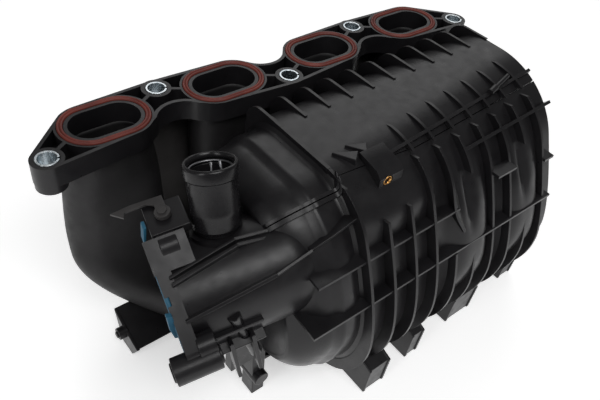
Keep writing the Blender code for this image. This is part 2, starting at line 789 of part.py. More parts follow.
def front_feet():
    """Lugs under the front corner, which the manifold stands on, and a leg at the near end."""
    feet = []
    for x, half, front in ((-20.0, 10.0, -165.0), (22.0, 6.5, -161.5), (80.0, 14.0, -157.0), (146.0, 8.0, -152.0)):
        root_edge = [lower_oval(RIB_DEPTH + SHELL_WALL / 2, 0.5, angle) for angle in (70, 52, 35)]
        outline = [(front, LOWEST), (-136.0, LOWEST)] + root_edge + [(front - 1.0, -142.0)]
        feet.append(prism(outline, "X", x - half, x + half))
    leg = [(-122.0, LOWEST), (-109.2, LOWEST), (-109.2, -100.0), (-118.0, -96.0)]
    feet.append(prism(leg, "X", DRUM_NEAR - 8.0, DRUM_NEAR + 2.0))
    return feet


def build_front_shell(root):
    shell = make_object("front_shell", *shell_wall(front_path), "nylon", root)
    inner_edge = [(SHELL_MEETS_RUNNER_Y, -106.0), (-77.0, -121.0)]
    union(shell, "front_ends", end_walls(path_below_seam, inner_edge), root)
    runner_wall(root, shell)
    union(shell, "front_hoops", [hoop(lower_front, rib_x(i), FRONT_HOOP_SHY) for i in range(RIB_COUNT - 1)], root)
    long_ribs = [long_rib(-149.0, -38.0, DRUM_NEAR + 12, DRUM_FAR - 9.0),
                 long_rib(-160.0, -66.0, DRUM_NEAR + 26, DRUM_FAR - 12.0),
                 corner_rib(131, rib_x(5), DRUM_FAR - 0.4, 8.0)]
    union(shell, "front_long_ribs", long_ribs, root)
    union(shell, "front_seam_flange", [seam_flange(-3.0, 2.7)], root)
    union(shell, "cheek_rib", [cheek_rib()], root)
    union(shell, "front_feet", front_feet(), root)
    cut(shell, "front_duct_room", [duct_space(GAP)], root)
    cut(shell, "front_boss_room", [sensor_boss(GAP)], root)
    return shell


def sensor_insert(radius, bore, extra):
    """Where the insert sits in the sensor boss: a sleeve, or a plain rod where bore is 0."""
    matrix = frame_at(Vector((-11.0, -116.0, -6.5)), Vector((0, -1, 0)))
    if bore:
        return turned(ring_profile(bore, radius, 0.5, 9.8), 12, matrix)
    return rod(radius, 0.0, 12.0 + extra, 12, matrix)


# ---------------------------------------------------------------- inner runner shell
def channel_divider(x):
    """A wall between two runner channels, from the core out to the shells."""
    outer = toward(upper_front(x, RIB_DEPTH, SEAM_SHY) + lower_front(x, RIB_DEPTH, SEAM_SHY), SHELL_WALL + 1.5)
    outer = [(y, z) for y, z in outer if y < SHELL_MEETS_RUNNER_Y - SHELL_WALL - 1 or z > -100]
    inner = arc(*CORE_CENTRE, CORE_RADIUS - 1.0, 208, 100, 9)
    return plate_at(outer + inner, x, 3.0)


def build_inner_shell(root):
    """The plenum's front wall, which is also the runners' inner wall, with its dividers."""
    low, high = DRUM_NEAR + SHELL_WALL + GAP, DRUM_FAR - SHELL_WALL - GAP
    outer = arc(*CORE_CENTRE, CORE_RADIUS, 75, 266, 18)
    inner = arc(*CORE_CENTRE, CORE_RADIUS - SHELL_WALL, 266, 75, 18)
    core = make_object("inner_runner_shell", *prism(outer + inner, "X", low, high), "nylon", root)
    middles = [lobe_x(i) + LOBE_PITCH / 2 for i in range(PORT_COUNT - 1)]
    union(core, "dividers", [channel_divider(x) for x in middles], root)
    cut(core, "core_duct_room", [duct_space(GAP)], root)


# ---------------------------------------------------------------- throttle duct and its fittings
def rounded_square(half, radius, steps=4):
    points = []
    for quarter, (cx, cy) in enumerate(((1, 1), (-1, 1), (-1, -1), (1, -1))):
        middle = half - radius
        points += arc(cx * middle, cy * middle, radius, 90 * quarter, 90 * quarter + 90, steps)
    return points


def screw_corners():
    return [(sx * THROTTLE_BOLT, sy * THROTTLE_BOLT) for sx in (-1, 1) for sy in (-1, 1)]


def duct_rib(angle, turn, rise, thick):
    """A rib along the duct from the throttle plate, turning by some degrees on its way."""
    rings = []
    for height, share in ((THROTTLE_PLATE - 2.0, 0.0), (46.0, 1.0)):
        a = math.radians(angle + turn * share)
        out = (math.cos(a), math.sin(a))
        side = (-out[1] * thick / 2, out[0] * thick / 2)
        ring = []
        for r, sign in ((DUCT_RADIUS - 2.0, -1), (DUCT_RADIUS + rise, -1), (DUCT_RADIUS + rise, 1),
                        (DUCT_RADIUS - 2.0, 1)):
            ring.append((out[0] * r + sign * side[0], out[1] * r + sign * side[1], height))
        rings.append([tuple(duct_matrix() @ Vector(p)) for p in ring])
    return loft(rings)


def top_block():
    """The thick top corner of the throttle plate, with the bracket for the harness clip."""
    corner = [(15.0, 19.0), (34.0, 19.0), (34.0, 34.0), (15.0, 34.0)]
    bracket = [(10.0, 40.0), (33.0, 40.0), (33.0, 46.0), (10.0, 46.0)]
    return (placed(prism(corner, "Z", -1.0, 22.0), throttle_matrix()),
            placed(prism(bracket, "Z", 5.0, 27.0), duct_matrix()))


def build_throttle_duct(root):
    frame, face = duct_matrix(), throttle_matrix()
    duct = make_object("throttle_duct", *duct_body(DUCT_RADIUS, 0.5, DUCT_STRAIGHT, DUCT_END), "nylon", root)
    plate = placed(prism(rounded_square(THROTTLE_HALF, 5.0, 2), "Z", 0.0, THROTTLE_PLATE), face)
    union(duct, "throttle_plate", [plate], root)
    bosses = [placed(prism(arc(x, y, 7.5, 0, 330, 11), "Z", 1.0, THROTTLE_PLATE + 9.0), face)
              for x, y in screw_corners()]
    union(duct, "screw_bosses", bosses, root)
    corner, bracket = top_block()
    union(duct, "top_corner", [corner], root)
    union(duct, "clip_bracket", [bracket], root)
    front_boss = placed(prism(arc(-44.0, -1.0, 8.0, 0, 330, 11), "Z", -9.0, 17.0), frame)
    union(duct, "front_boss", [front_boss], root)
    for name, rib in (("seam_rib_upper", duct_rib(109.0, -10.0, 4.0, 2.0)),
                      ("seam_rib_lower", duct_rib(116.0, -10.0, 4.0, 3.0)),
                      ("front_rib", duct_rib(148.0, -7.0, 4.0, 2.6)),
                      ("low_rib", duct_rib(205.0, 0.0, 6.0, 2.6))):
        union(duct, name, [rib], root)
    stub = frame_at(STUB_BASE, STUB_AXIS)
    union(duct, "stub_seat", [rod(16.0, -14.0, -GAP, 16, stub)], root)
    cut(duct, "stub_room", [rod(STUB_HEAD_RADIUS + 1.0, -GAP, 12.0, 16, stub)], root)
    cut(duct, "duct_bore", [duct_body(DUCT_BORE, -12.0, DUCT_STRAIGHT, DUCT_END - 4.5)], root)
    way_in = frame_at(frame @ Vector((0, 0, DUCT_STRAIGHT - 4.0)), Vector((0, 1, 0)))
    cut(duct, "way_into_plenum", [rod(22.0, 4.0, 60.0, 16, way_in)], root)
    cut(duct, "stub_passage", [rod(STUB_BORE, -22.0, 3, 16, stub)], root)
    holes = [placed(prism(arc(x, y, INSERT_RADIUS + GAP, 0, 330, 11), "Z", -2, THROTTLE_PLATE + 3.0), face)
             for x, y in screw_corners()]
    cut(duct, "insert_holes", holes, root)
    half = 1.9
    groove = turned(ring_profile(THROTTLE_SEAL_RADIUS - half, THROTTLE_SEAL_RADIUS + half, -2.0, 2.4), 32, frame)
    cut(duct, "throttle_groove", [groove], root)
    cut(duct, "clip_hole", [clip_hole()], root)


def clip_hole():
    """The hole in the top corner's bracket that the harness clip is pushed through."""
    matrix = duct_matrix()
    return placed(prism(arc(22.0, 15.0, 2.6, 0, 315, 7), "Y", 36.0, 50.0), matrix)


def build_throttle_fittings(root):
    frame, face = duct_matrix(), throttle_matrix()
    half = 1.9 - GAP
    seal = turned(ring_profile(THROTTLE_SEAL_RADIUS - half, THROTTLE_SEAL_RADIUS + half, -THROTTLE_SEAL_PROUD,
                               2.4 - GAP), 32, frame)
    make_object("throttle_seal", *seal, "blue_rubber", root)
    for i, (x, y) in enumerate(screw_corners()):
        sleeve = turned(ring_profile(INSERT_BORE, INSERT_RADIUS, 0.2, THROTTLE_PLATE + 2.5), 12,
                        face @ Matrix.Translation((x, y, 0)))
        make_object(f"throttle_insert_{i + 1}", *sleeve, "brass", root)
    make_object("sensor_insert", *sensor_insert(INSERT_RADIUS, INSERT_BORE, 0.0), "brass", root)


def build_harness_clip(root):
    """A barbed clip that stands in the bracket, with its arrow head out over the first runner."""
    matrix = duct_matrix()
    pin = placed(prism(arc(22.0, 15.0, 2.2, 0, 315, 7), "Y", 37.0, 49.0), matrix)
    clip = make_object("harness_clip", *pin, "nylon", root)
    head = placed(prism(arc(22.0, 15.0, 4.6, 0, 330, 11), "Y", 46.4, 49.4), matrix)
    union(clip, "clip_head", [head], root)
    arrow = [(20.0, 12.0), (20.0, 18.0), (34.6, 18.0), (35.0, 0.0), (33.6, -11.6), (27.2, -5.3), (31.0, -4.2),
             (31.6, 8.0), (29.0, 12.0)]
    strip = placed(prism(arrow, "Y", 47.2, 48.8), matrix)
    union(clip, "clip_arrow", [strip], root)


def build_hose_stub(root):
    """A socket for a hose connector, with a seal on its floor and a wire clip in its mouth."""
    head, mouth = STUB_HEAD_RADIUS, STUB_LENGTH
    matrix = frame_at(STUB_BASE, STUB_AXIS)
    profile = [(12.8, 0), (14.2, 4), (14.2, 12), (head, 14.5), (head, mouth - 2), (head - 1.2, mouth),
               (SOCKET_RADIUS + 0.6, mouth), (SOCKET_RADIUS, mouth - 1.5), (SOCKET_RADIUS, mouth - 3.0),
               (SOCKET_RADIUS + 1.5, mouth - 3.4), (SOCKET_RADIUS + 1.5, mouth - 6.0),
               (SOCKET_RADIUS, mouth - 6.4), (SOCKET_RADIUS, SOCKET_FLOOR), (STUB_BORE, SOCKET_FLOOR - 1.0),
               (STUB_BORE, 0)]
    make_object("hose_stub", *turned(profile, 24, matrix), "nylon", root)

    centre = (SOCKET_RADIUS - GAP - SOCKET_SEAL, SOCKET_FLOOR + GAP + SOCKET_SEAL)
    section = arc(*centre, SOCKET_SEAL, 0, 300, 5)
    make_object("socket_seal", *turned(section, 20, matrix), "blue_rubber", root)


def tube_along(points, radius, sides=6):
    """A round wire through a list of points."""
    rings = []
    for i, point in enumerate(points):
        before, after = points[max(0, i - 1)], points[min(len(points) - 1, i + 1)]
        frame = frame_at(point, after - before, Vector((0.05, 0.02, 1.0)))
        ring = arc(0, 0, radius, 0, 360 - 360 / sides, sides - 1)
        rings.append([tuple(frame @ Vector((x, y, 0))) for x, y in ring])
    return loft(rings)


def build_socket_clip(root):
    """The wire clip: most of a ring in the socket's groove, with both ends bent up out of the mouth."""
    matrix = frame_at(STUB_BASE, STUB_AXIS)
    radius, height = SOCKET_RADIUS - 0.2, STUB_LENGTH - 4.7
    points = []
    for x, y in arc(0, 0, radius, 110, 430, 18):
        points.append(Vector((x, y, height)))
    first = points[0] + Vector((1.6, -2.2, 3.0))
    last = points[-1] + Vector((-1.6, -2.2, 3.0))
    points = [first + Vector((0.4, 0.6, 5.0)), first] + points + [last, last + Vector((0.6, 1.8, 5.5))]
    wire = tube_along([matrix @ p for p in points], CLIP_WIRE)
    make_object("socket_clip", *wire, "spring_steel", root)


# ---------------------------------------------------------------- assembly
def stand_on_floor(root):
    """Moves the root so that the box's bottom centre is the world's origin."""
    bpy.context.view_layer.update()
    graph = bpy.context.evaluated_depsgraph_get()
    low, high = Vector((9, 9, 9)), Vector((-9, -9, -9))
    for item in bpy.data.objects:
        if item.type != "MESH" or item.hide_render:
            continue
        for corner in item.evaluated_get(graph).bound_box:
            point = item.matrix_world @ Vector(corner)
            low = Vector(map(min, low, point))
            high = Vector(map(max, high, point))
    root.location = (-(low.x + high.x) / 2, -(low.y + high.y) / 2, -low.z)


def main():
    clear_scene()
    root = bpy.data.objects.new("manifold", None)
    bpy.context.collection.objects.link(root)
    build_head_flange(root)
    build_port_seals(root)
    build_limiters(root)
    build_runners(root)
    build_upper_shell(root)
    build_front_shell(root)
    build_inner_shell(root)
    build_throttle_duct(root)
    build_throttle_fittings(root)
    build_harness_clip(root)
    build_hose_stub(root)
    build_socket_clip(root)
    stand_on_floor(root)


main()
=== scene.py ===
"""Looks for a moulded plastic intake manifold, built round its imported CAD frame.

All shapes are drawn in millimetres in the head flange's frame: X runs along the row of ports, Y to
the rear, and Z = 0 is the sealing face. ORIGIN places that frame in the row frame.
"""
import math

import bpy
import bmesh
from mathutils import Matrix, Vector


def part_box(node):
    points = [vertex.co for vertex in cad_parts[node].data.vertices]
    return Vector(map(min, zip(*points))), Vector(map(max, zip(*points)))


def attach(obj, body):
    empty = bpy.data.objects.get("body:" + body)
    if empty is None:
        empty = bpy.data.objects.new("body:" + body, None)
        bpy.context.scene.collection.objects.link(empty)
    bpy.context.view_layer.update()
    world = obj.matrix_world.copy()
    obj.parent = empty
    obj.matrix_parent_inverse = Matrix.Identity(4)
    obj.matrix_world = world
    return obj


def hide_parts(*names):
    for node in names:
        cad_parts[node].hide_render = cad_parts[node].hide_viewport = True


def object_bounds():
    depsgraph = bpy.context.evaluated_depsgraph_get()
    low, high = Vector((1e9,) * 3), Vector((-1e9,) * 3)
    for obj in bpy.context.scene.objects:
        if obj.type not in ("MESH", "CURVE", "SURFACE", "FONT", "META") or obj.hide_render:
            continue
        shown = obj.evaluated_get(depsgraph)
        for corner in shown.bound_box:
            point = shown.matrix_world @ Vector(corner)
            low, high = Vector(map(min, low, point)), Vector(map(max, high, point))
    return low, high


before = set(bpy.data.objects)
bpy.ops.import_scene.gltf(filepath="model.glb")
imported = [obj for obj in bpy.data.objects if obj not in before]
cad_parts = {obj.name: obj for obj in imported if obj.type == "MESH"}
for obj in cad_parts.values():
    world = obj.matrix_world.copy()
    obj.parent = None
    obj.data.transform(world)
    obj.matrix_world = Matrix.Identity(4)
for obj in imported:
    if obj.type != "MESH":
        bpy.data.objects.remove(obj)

CAD_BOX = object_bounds()
MM = 0.001
WELD = 0.000002  # metres within which a mesh's points are joined
WHITE = (1.0, 1.0, 1.0, 1.0)

# ------------ sizes shared with the CAD (mm)
PORT_PITCH, PORT_COUNT = 84.0, 4
PORT_HALF_LENGTH, PORT_HALF_WIDTH = 22.0, 13.0
COLLAR_HALF_LENGTH, COLLAR_HALF_WIDTH = 30.0, 21.0
SEAL_HALF_LENGTH, SEAL_HALF_WIDTH, SEAL_WIDTH = 26.4, 17.4, 3.6
GROOVE_DEPTH, SEAL_PROUD = 3.0, 1.0
FLANGE_DEPTH, FLANGE_FLOOR, RIM = 14.0, 3.0, 2.4
BOLT_FRONT_Y, BOLT_REAR_Y = -16.0, 14.0
BOSS_RADIUS, BOSS_DEPTH = 9.6, 19.0
LIMITER_RADIUS, LIMITER_WALL = 6.8, 1.5
RUNNER_WALL, RUNNER_BEND, RUNNER_DROP = 3.0, 70.0, 70.0
RUNNER_SWELL, RUNNER_TURNS = 10.0, (0.4, 0.15, 0.15, 0.15)
RUNNER_END_Y = -108.0
DRUM_NEAR, DRUM_RIM, RIB_PITCH, RIB_COUNT = -87.0, -41.0, 19.3, 11
DRUM_FAR = DRUM_RIM + RIB_PITCH * (RIB_COUNT - 1)
RIB_THICK, RIB_DEPTH, SHELL_WALL = 2.2, 8.0, 3.0
LOBE_FIRST, LOBE_PITCH = DRUM_RIM - RIB_PITCH, 3 * RIB_PITCH
CORE_CENTRE = (-75.0, -74.0)
FRONT_Y, FRONT_Z = -168.0, -103.0  # the front's widest line
FRONT_FLAT_Y, FRONT_LOW_Z = -149.0, -162.0  # the wall below the seam, and the front's lowest line
UPPER_LINE, LOWER_LINE = (-149.0, -38.0), (-160.0, -66.0)  # tips of the two long ribs, in YZ
DUCT_AXIS = Vector((0.953, -0.240, 0.182)).normalized()
DUCT_START = Vector((-141.0, -92.3, -64.3))
DUCT_RADIUS, DUCT_BORE, DUCT_STRAIGHT, DUCT_END = 34.0, 29.5, 70.0, 26.0
THROTTLE_PLATE, THROTTLE_HALF, THROTTLE_TURN, THROTTLE_BOLT = 8.0, 34.0, 37.0, 28.0
INSERT_HOLE = 3.9
STUB_AXIS = Vector((0.07, 0.316, 0.946)).normalized()
STUB_BASE = Vector((-105.0, -89.0, -26.0))
STUB_LENGTH, STUB_HEAD, STUB_BORE = 41.0, 16.0, 8.5
SOCKET_RADIUS, SOCKET_FLOOR = 12.6, 14.0
PAD_FRAME = ((-11.0, -116.0, -6.5), (0, -1, 0))  # the sensor pad's hole: its foot and its axis
CLIP_PIN = (22.0, 15.0)  # the arrow clip's pin, in the duct's XZ

flange_low, flange_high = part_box("head_flange")
ORIGIN = Vector(((flange_low.x + flange_high.x) / 2, flange_low.y + (BOSS_RADIUS - BOLT_FRONT_Y) * MM,
                 flange_high.z))
FLOOR = (CAD_BOX[0].z - ORIGIN.z) / MM  # height of the plane that the feet stand on


def row(point):
    """A millimetre point of the flange's frame in the row frame, in metres."""
    return ORIGIN + Vector(point) * MM


# ------------ outlines and solids
def arc(cx, cy, radius, start, end, segments):
    """Points on an arc, both ends included; angles in degrees."""
    points = []
    for i in range(segments + 1):
        angle = math.radians(start + (end - start) * i / segments)
        points.append((cx + radius * math.cos(angle), cy + radius * math.sin(angle)))
    return points


def disc(cx, cy, radius):
    return arc(cx, cy, radius, 0, 350, 35)


def stadium(cx, cy, half_length, half_width, segments=16, straight_steps=1):
    """A slot's outline, with its straight sides cut into steps."""
    straight = half_length - half_width
    cuts = [straight - 2 * straight * i / straight_steps for i in range(1, straight_steps)]
    right = arc(cx + straight, cy, half_width, -90, 90, segments)
    left = arc(cx - straight, cy, half_width, 90, 270, segments)
    top = [(cx + c, cy + half_width) for c in cuts]
    return right + top + left + [(cx - c, cy - half_width) for c in cuts]


def prism(outline, axis, low, high):
    """An outline drawn out along an axis, as vertices and faces."""
    count = len(outline)
    verts = []
    for level in (low, high):
        for a, b in outline:
            verts.append({"X": (level, a, b), "Y": (a, level, b), "Z": (a, b, level)}[axis])
    faces = [list(range(count))[::-1], list(range(count, 2 * count))]
    for i in range(count):
        j = (i + 1) % count
        faces.append([i, j, count + j, count + i])
    return verts, faces


def loft(rings, ends=True):
    """A skin over closed rings of equal length."""
    count = len(rings[0])
    verts = [tuple(p) for ring in rings for p in ring]
    faces = []
    for r in range(len(rings) - 1):
        for i in range(count):
            j = (i + 1) % count
            a, b = r * count, (r + 1) * count
            faces.append([a + i, a + j, b + j, b + i])
    if ends:
        last = (len(rings) - 1) * count
        faces.append(list(range(count))[::-1])
        faces.append(list(range(last, last + count)))
    return verts, faces


def hollow_loft(outer, inner):
    """An open-ended tube between two lofts."""
    count, steps = len(outer[0]), len(outer)
    outer_verts, outer_faces = loft(outer, ends=False)
    inner_verts, inner_faces = loft(inner, ends=False)
    base = len(outer_verts)
    faces = outer_faces + [[base + i for i in face] for face in inner_faces]
    for first in (0, (steps - 1) * count):
        for i in range(count):
            j = (i + 1) % count
            faces.append([first + i, first + j, base + first + j, base + first + i])
    return outer_verts + inner_verts, faces


def merged(parts):
    """Several solids as one mesh."""
    verts, faces = [], []
    for part_verts, part_faces in parts:
        base = len(verts)
        verts += part_verts
        faces += [[base + i for i in face] for face in part_faces]
    return verts, faces


def frame_at(origin, axis, up=Vector((0, 0, 1))):
    """A frame whose Z runs along an axis."""
    z = Vector(axis).normalized()
    x = up.cross(z).normalized()
    y = z.cross(x)
    return Matrix.Translation(origin) @ Matrix((x, y, z)).transposed().to_4x4()


def moved(part, change):
    """A solid whose points each pass through a function."""
    verts, faces = part
    return [tuple(change(*v)) for v in verts], faces


def placed(part, matrix):
    return moved(part, lambda *point: matrix @ Vector(point))


def turned(profile, segments, matrix):
    """A closed (radius, height) profile turned round a frame's Z."""
    rings = []
    for i in range(segments):
        angle = 2 * math.pi * i / segments
        across, along = math.cos(angle), math.sin(angle)
        rings.append([tuple(matrix @ Vector((r * across, r * along, h))) for r, h in profile])
    return loft(rings + [rings[0]], ends=False)


def rod(radius, low, high, segments, matrix=Matrix.Identity(4)):
    return placed(prism(arc(0, 0, radius, 0, 360 - 360 / segments, segments - 1), "Z", low, high), matrix)


def eased(t):
    """A smooth step from 0 to 1."""
    t = min(1.0, max(0.0, t))
    return t * t * (3 - 2 * t)


# ------------ materials
def node(tree, kind, **inputs):
    """A shader node with constants set on its sockets."""
    made = tree.nodes.new(kind)
    for name, value in inputs.items():
        made.inputs[name.replace("_", " ")].default_value = value
    return made


def noise(tree, coords, scale, detail, rough=0.55, stretch=None):
    """A noise pattern whose scale is in features per metre."""
    made = node(tree, "ShaderNodeTexNoise", Scale=scale, Detail=detail, Roughness=rough)
    source = coords.outputs["Object"]
    if stretch:
        mapping = node(tree, "ShaderNodeMapping", Scale=stretch)
        tree.links.new(source, mapping.inputs["Vector"])
        source = mapping.outputs["Vector"]
    tree.links.new(source, made.inputs["Vector"])
    return made.outputs["Fac"]


def ramp(tree, source, low, high, stops):
    """A colour ramp over part of a pattern's range."""
    made = tree.nodes.new("ShaderNodeValToRGB")
    for element, position, colour in zip(made.color_ramp.elements, (low, high), stops):
        element.position, element.color = position, colour
    tree.links.new(source, made.inputs["Fac"])
    return made.outputs["Color"]


def spread(tree, source, low, high):
    """A pattern's middle range mapped to a range of values."""
    made = node(tree, "ShaderNodeMapRange", From_Min=0.3, From_Max=0.7, To_Min=low, To_Max=high)
    tree.links.new(source, made.inputs["Value"])
    return made.outputs["Result"]


def bump(tree, heights, shader):
    """Chained bumps: a list of (pattern, strength, depth in metres)."""
    last = None
    for source, strength, distance in heights:
        made = node(tree, "ShaderNodeBump", Strength=strength, Distance=distance)
        tree.links.new(source, made.inputs["Height"])
        if last:
            tree.links.new(last, made.inputs["Normal"])
        last = made.outputs["Normal"]
    tree.links.new(last, shader.inputs["Normal"])


def finish_of(name, dark, light, rough, grain, depth, metallic=0.0, blotch=28.0, stretch=None):
    """A surface with blotches of colour, uneven gloss and a fine grain, in features per metre."""
    material = bpy.data.materials.new(name)
    material.use_nodes = True
    tree = material.node_tree
    shader = tree.nodes["Principled BSDF"]
    shader.inputs["Metallic"].default_value = metallic
    shader.inputs["Specular IOR Level"].default_value = 0.32
    coords = tree.nodes.new("ShaderNodeTexCoord")
    broad = noise(tree, coords, blotch, 4.0)
    fine = noise(tree, coords, grain, 3.0, 0.6, stretch)
    colour = ramp(tree, broad, 0.32, 0.68, [(*dark, 1.0), (*light, 1.0)])
    tree.links.new(colour, shader.inputs["Base Color"])
    gloss = spread(tree, noise(tree, coords, blotch * 5.0, 5.0), *rough)
    tree.links.new(gloss, shader.inputs["Roughness"])
    bump(tree, [(noise(tree, coords, blotch * 2.2, 2.0), 0.12, 0.0006), (fine, depth, 0.00012)], shader)
    return material


NYLON = finish_of("nylon_black", (0.0075, 0.007, 0.008), (0.015, 0.0142, 0.0155), (0.27, 0.40), 1400.0, 0.35)
NYLON_MATT = finish_of("nylon_matt", (0.0085, 0.008, 0.0085), (0.018, 0.017, 0.018), (0.46, 0.62), 1100.0, 0.5)
# a paler nylon: on the runner webs this lighter colour is a painted highlight, standing in for the light their
# walls catch; the arrow clip uses it too
NYLON_PALE_PAINTED_LIGHT = finish_of("nylon_pale_painted_light", (0.030, 0.028, 0.028), (0.060, 0.057, 0.056), (0.42, 0.55), 1100.0, 0.4)
NYLON_GLOSS = finish_of("nylon_gloss", (0.0075, 0.007, 0.008), (0.013, 0.0124, 0.0135), (0.20, 0.32),
                        1400.0, 0.2)
SEAL = finish_of("seal_red", (0.115, 0.022, 0.016), (0.2, 0.042, 0.03), (0.38, 0.55), 1500.0, 0.3, blotch=60.0)
BLUE = finish_of("seal_blue", (0.01, 0.065, 0.12), (0.018, 0.11, 0.18), (0.40, 0.55), 1500.0, 0.3, blotch=60.0)
ZINC = finish_of("zinc_steel", (0.50, 0.56, 0.60), (0.74, 0.78, 0.80), (0.20, 0.38), 900.0, 0.3,
                 1.0, 120.0, (1.0, 1.0, 0.15))
BRASS = finish_of("brass_turned", (0.62, 0.30, 0.08), (0.86, 0.50, 0.18), (0.22, 0.38), 1600.0, 0.4,
                  1.0, 150.0, (1.0, 0.12, 1.0))
WIRE = finish_of("spring_steel", (0.16, 0.16, 0.17), (0.30, 0.30, 0.31), (0.34, 0.46), 1200.0, 0.2, 1.0, 150.0)


# ------------ pieces
def mesh_object(name, part):
    """A solid in millimetres as a smooth-shaded object in the row frame."""
    verts, faces = part
    mesh = bpy.data.meshes.new(name)
    mesh.from_pydata([tuple(row(v)) for v in verts], [], faces)
    work = bmesh.new()
    work.from_mesh(mesh)
    bmesh.ops.remove_doubles(work, verts=work.verts, dist=WELD)
    bmesh.ops.dissolve_degenerate(work, edges=work.edges, dist=WELD)
    bmesh.ops.recalc_face_normals(work, faces=work.faces)
    work.to_mesh(mesh)
    work.free()
    mesh.shade_smooth()
    item = bpy.data.objects.new(name, mesh)
    bpy.context.scene.collection.objects.link(item)
    return item


def bevelled(item, width, angle=38):
    """Rounds the edges sharper than an angle."""
    if width:
        made = item.modifiers.new("edges", "BEVEL")
        made.width = width * MM
        made.segments = 2
        made.limit_method = "ANGLE"
        made.angle_limit = math.radians(angle)
        made.harden_normals = True
        made.use_clamp_overlap = True
    return item


def piece(name, parts, material, edge=0.3, stands_for=(), angle=38):
    """One visible piece made of solids, with rounded edges and a material."""
    owned(bevelled(mesh_object(name, merged(parts)), edge, angle), material, stands_for)


def owned(item, material, stands_for=()):
    """Gives a piece its material, hangs it under the root body and hides the CAD nodes it stands for."""
    item.data.materials.clear()
    item.data.materials.append(material)
    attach(item, "root")
    if stands_for:
        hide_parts(*stands_for)


def carved(item, tools, operation="DIFFERENCE"):
    """Applies solids to a piece, one after another, and leaves a plain mesh."""
    for i, tool in enumerate(tools):
        cutter = mesh_object(f"tool_{i}", tool)
        step = item.modifiers.new("carve", "BOOLEAN")
        step.operation = operation
        step.solver = "EXACT"
        step.object = cutter
        graph = bpy.context.evaluated_depsgraph_get()
        made = bpy.data.meshes.new_from_object(item.evaluated_get(graph))
        item.modifiers.clear()
        item.data = made
        bpy.data.objects.remove(cutter)
    item.data.shade_smooth()
    return item


# ------------ positions
def port_x(index):
    return (index - (PORT_COUNT - 1) / 2) * PORT_PITCH


def lobe_x(index):
    return LOBE_FIRST + index * LOBE_PITCH


def rib_x(index):
    return DRUM_RIM + index * RIB_PITCH


def bolt_points():
    return [((i - PORT_COUNT / 2) * PORT_PITCH, BOLT_FRONT_Y if i % 2 == 0 else BOLT_REAR_Y)
            for i in range(PORT_COUNT + 1)]


# ------------ head flange
def bolt_rods(radius, low, high):
    """A rod on each of the flange's screws."""
    return [placed(rod(radius, low, high, 40), Matrix.Translation((x, y, 0))) for x, y in bolt_points()]


def flange_outline():
    """The flange's edge: four collars and five bosses with hollows between them."""
    end_x, side_x = -2 * PORT_PITCH, -PORT_PITCH
    bend = COLLAR_HALF_LENGTH - COLLAR_HALF_WIDTH
    near, far = port_x(0), port_x(1)
    half = arc(0, 21, 18, 270, 215, 10)
    half += arc(far + bend, 0, COLLAR_HALF_WIDTH, 45, 90, 8)
    half += arc(side_x, BOLT_REAR_Y, BOSS_RADIUS, 70, 110, 8)
    half += arc(near - bend, 0, COLLAR_HALF_WIDTH, 90, 125, 8)
    half += arc(end_x, BOLT_FRONT_Y, BOSS_RADIUS, 135, 280, 24)
    half += arc(near + bend, 0, COLLAR_HALF_WIDTH, 270, 315, 8)
    half += arc(side_x, -23, 18, 145, 35, 16)
    half += arc(far - bend, 0, COLLAR_HALF_WIDTH, 225, 270, 8)
    half += arc(0, BOLT_FRONT_Y, BOSS_RADIUS, 262, 270, 3)
    return half + [(-x, y) for x, y in reversed(half[1:-1])]


def inset(outline, distance):
    """An outline moved inwards."""
    count = len(outline)
    points = []
    for i, (x, y) in enumerate(outline):
        ax, ay = outline[i - 1]
        bx, by = outline[(i + 1) % count]
        dx, dy = bx - ax, by - ay
        length = math.hypot(dx, dy)
        points.append((x - distance * dy / length, y + distance * dx / length))
    return points


def boss_webs():
    """Thin webs that tie each screw boss to the collars beside it."""
    strips = []
    for x, y in bolt_points():
        lean = -1 if y > 0 else 1
        for side in (-1, 1):
            if abs(x + side * PORT_PITCH / 2) > 2 * PORT_PITCH:
                continue
            dx, dy = side * 0.86, lean * 0.5
            end, half = (x + 26 * dx, y + 26 * dy), RIM / 2
            strip = [(x - half * dy, y + half * dx), (x + half * dy, y - half * dx),
                     (end[0] + half * dy, end[1] - half * dx), (end[0] - half * dy, end[1] + half * dx)]
            strips.append(prism(strip, "Z", -FLANGE_DEPTH - 2, 3))
    return strips


def groove_wall(index, side):
    """The upright wall of a seal's groove, moved out by a distance."""
    path = stadium(port_x(index), 0, SEAL_HALF_LENGTH + side, SEAL_HALF_WIDTH + side, 24)
    return [[(x, y, z) for x, y in path] for z in (-GROOVE_DEPTH, 2)]


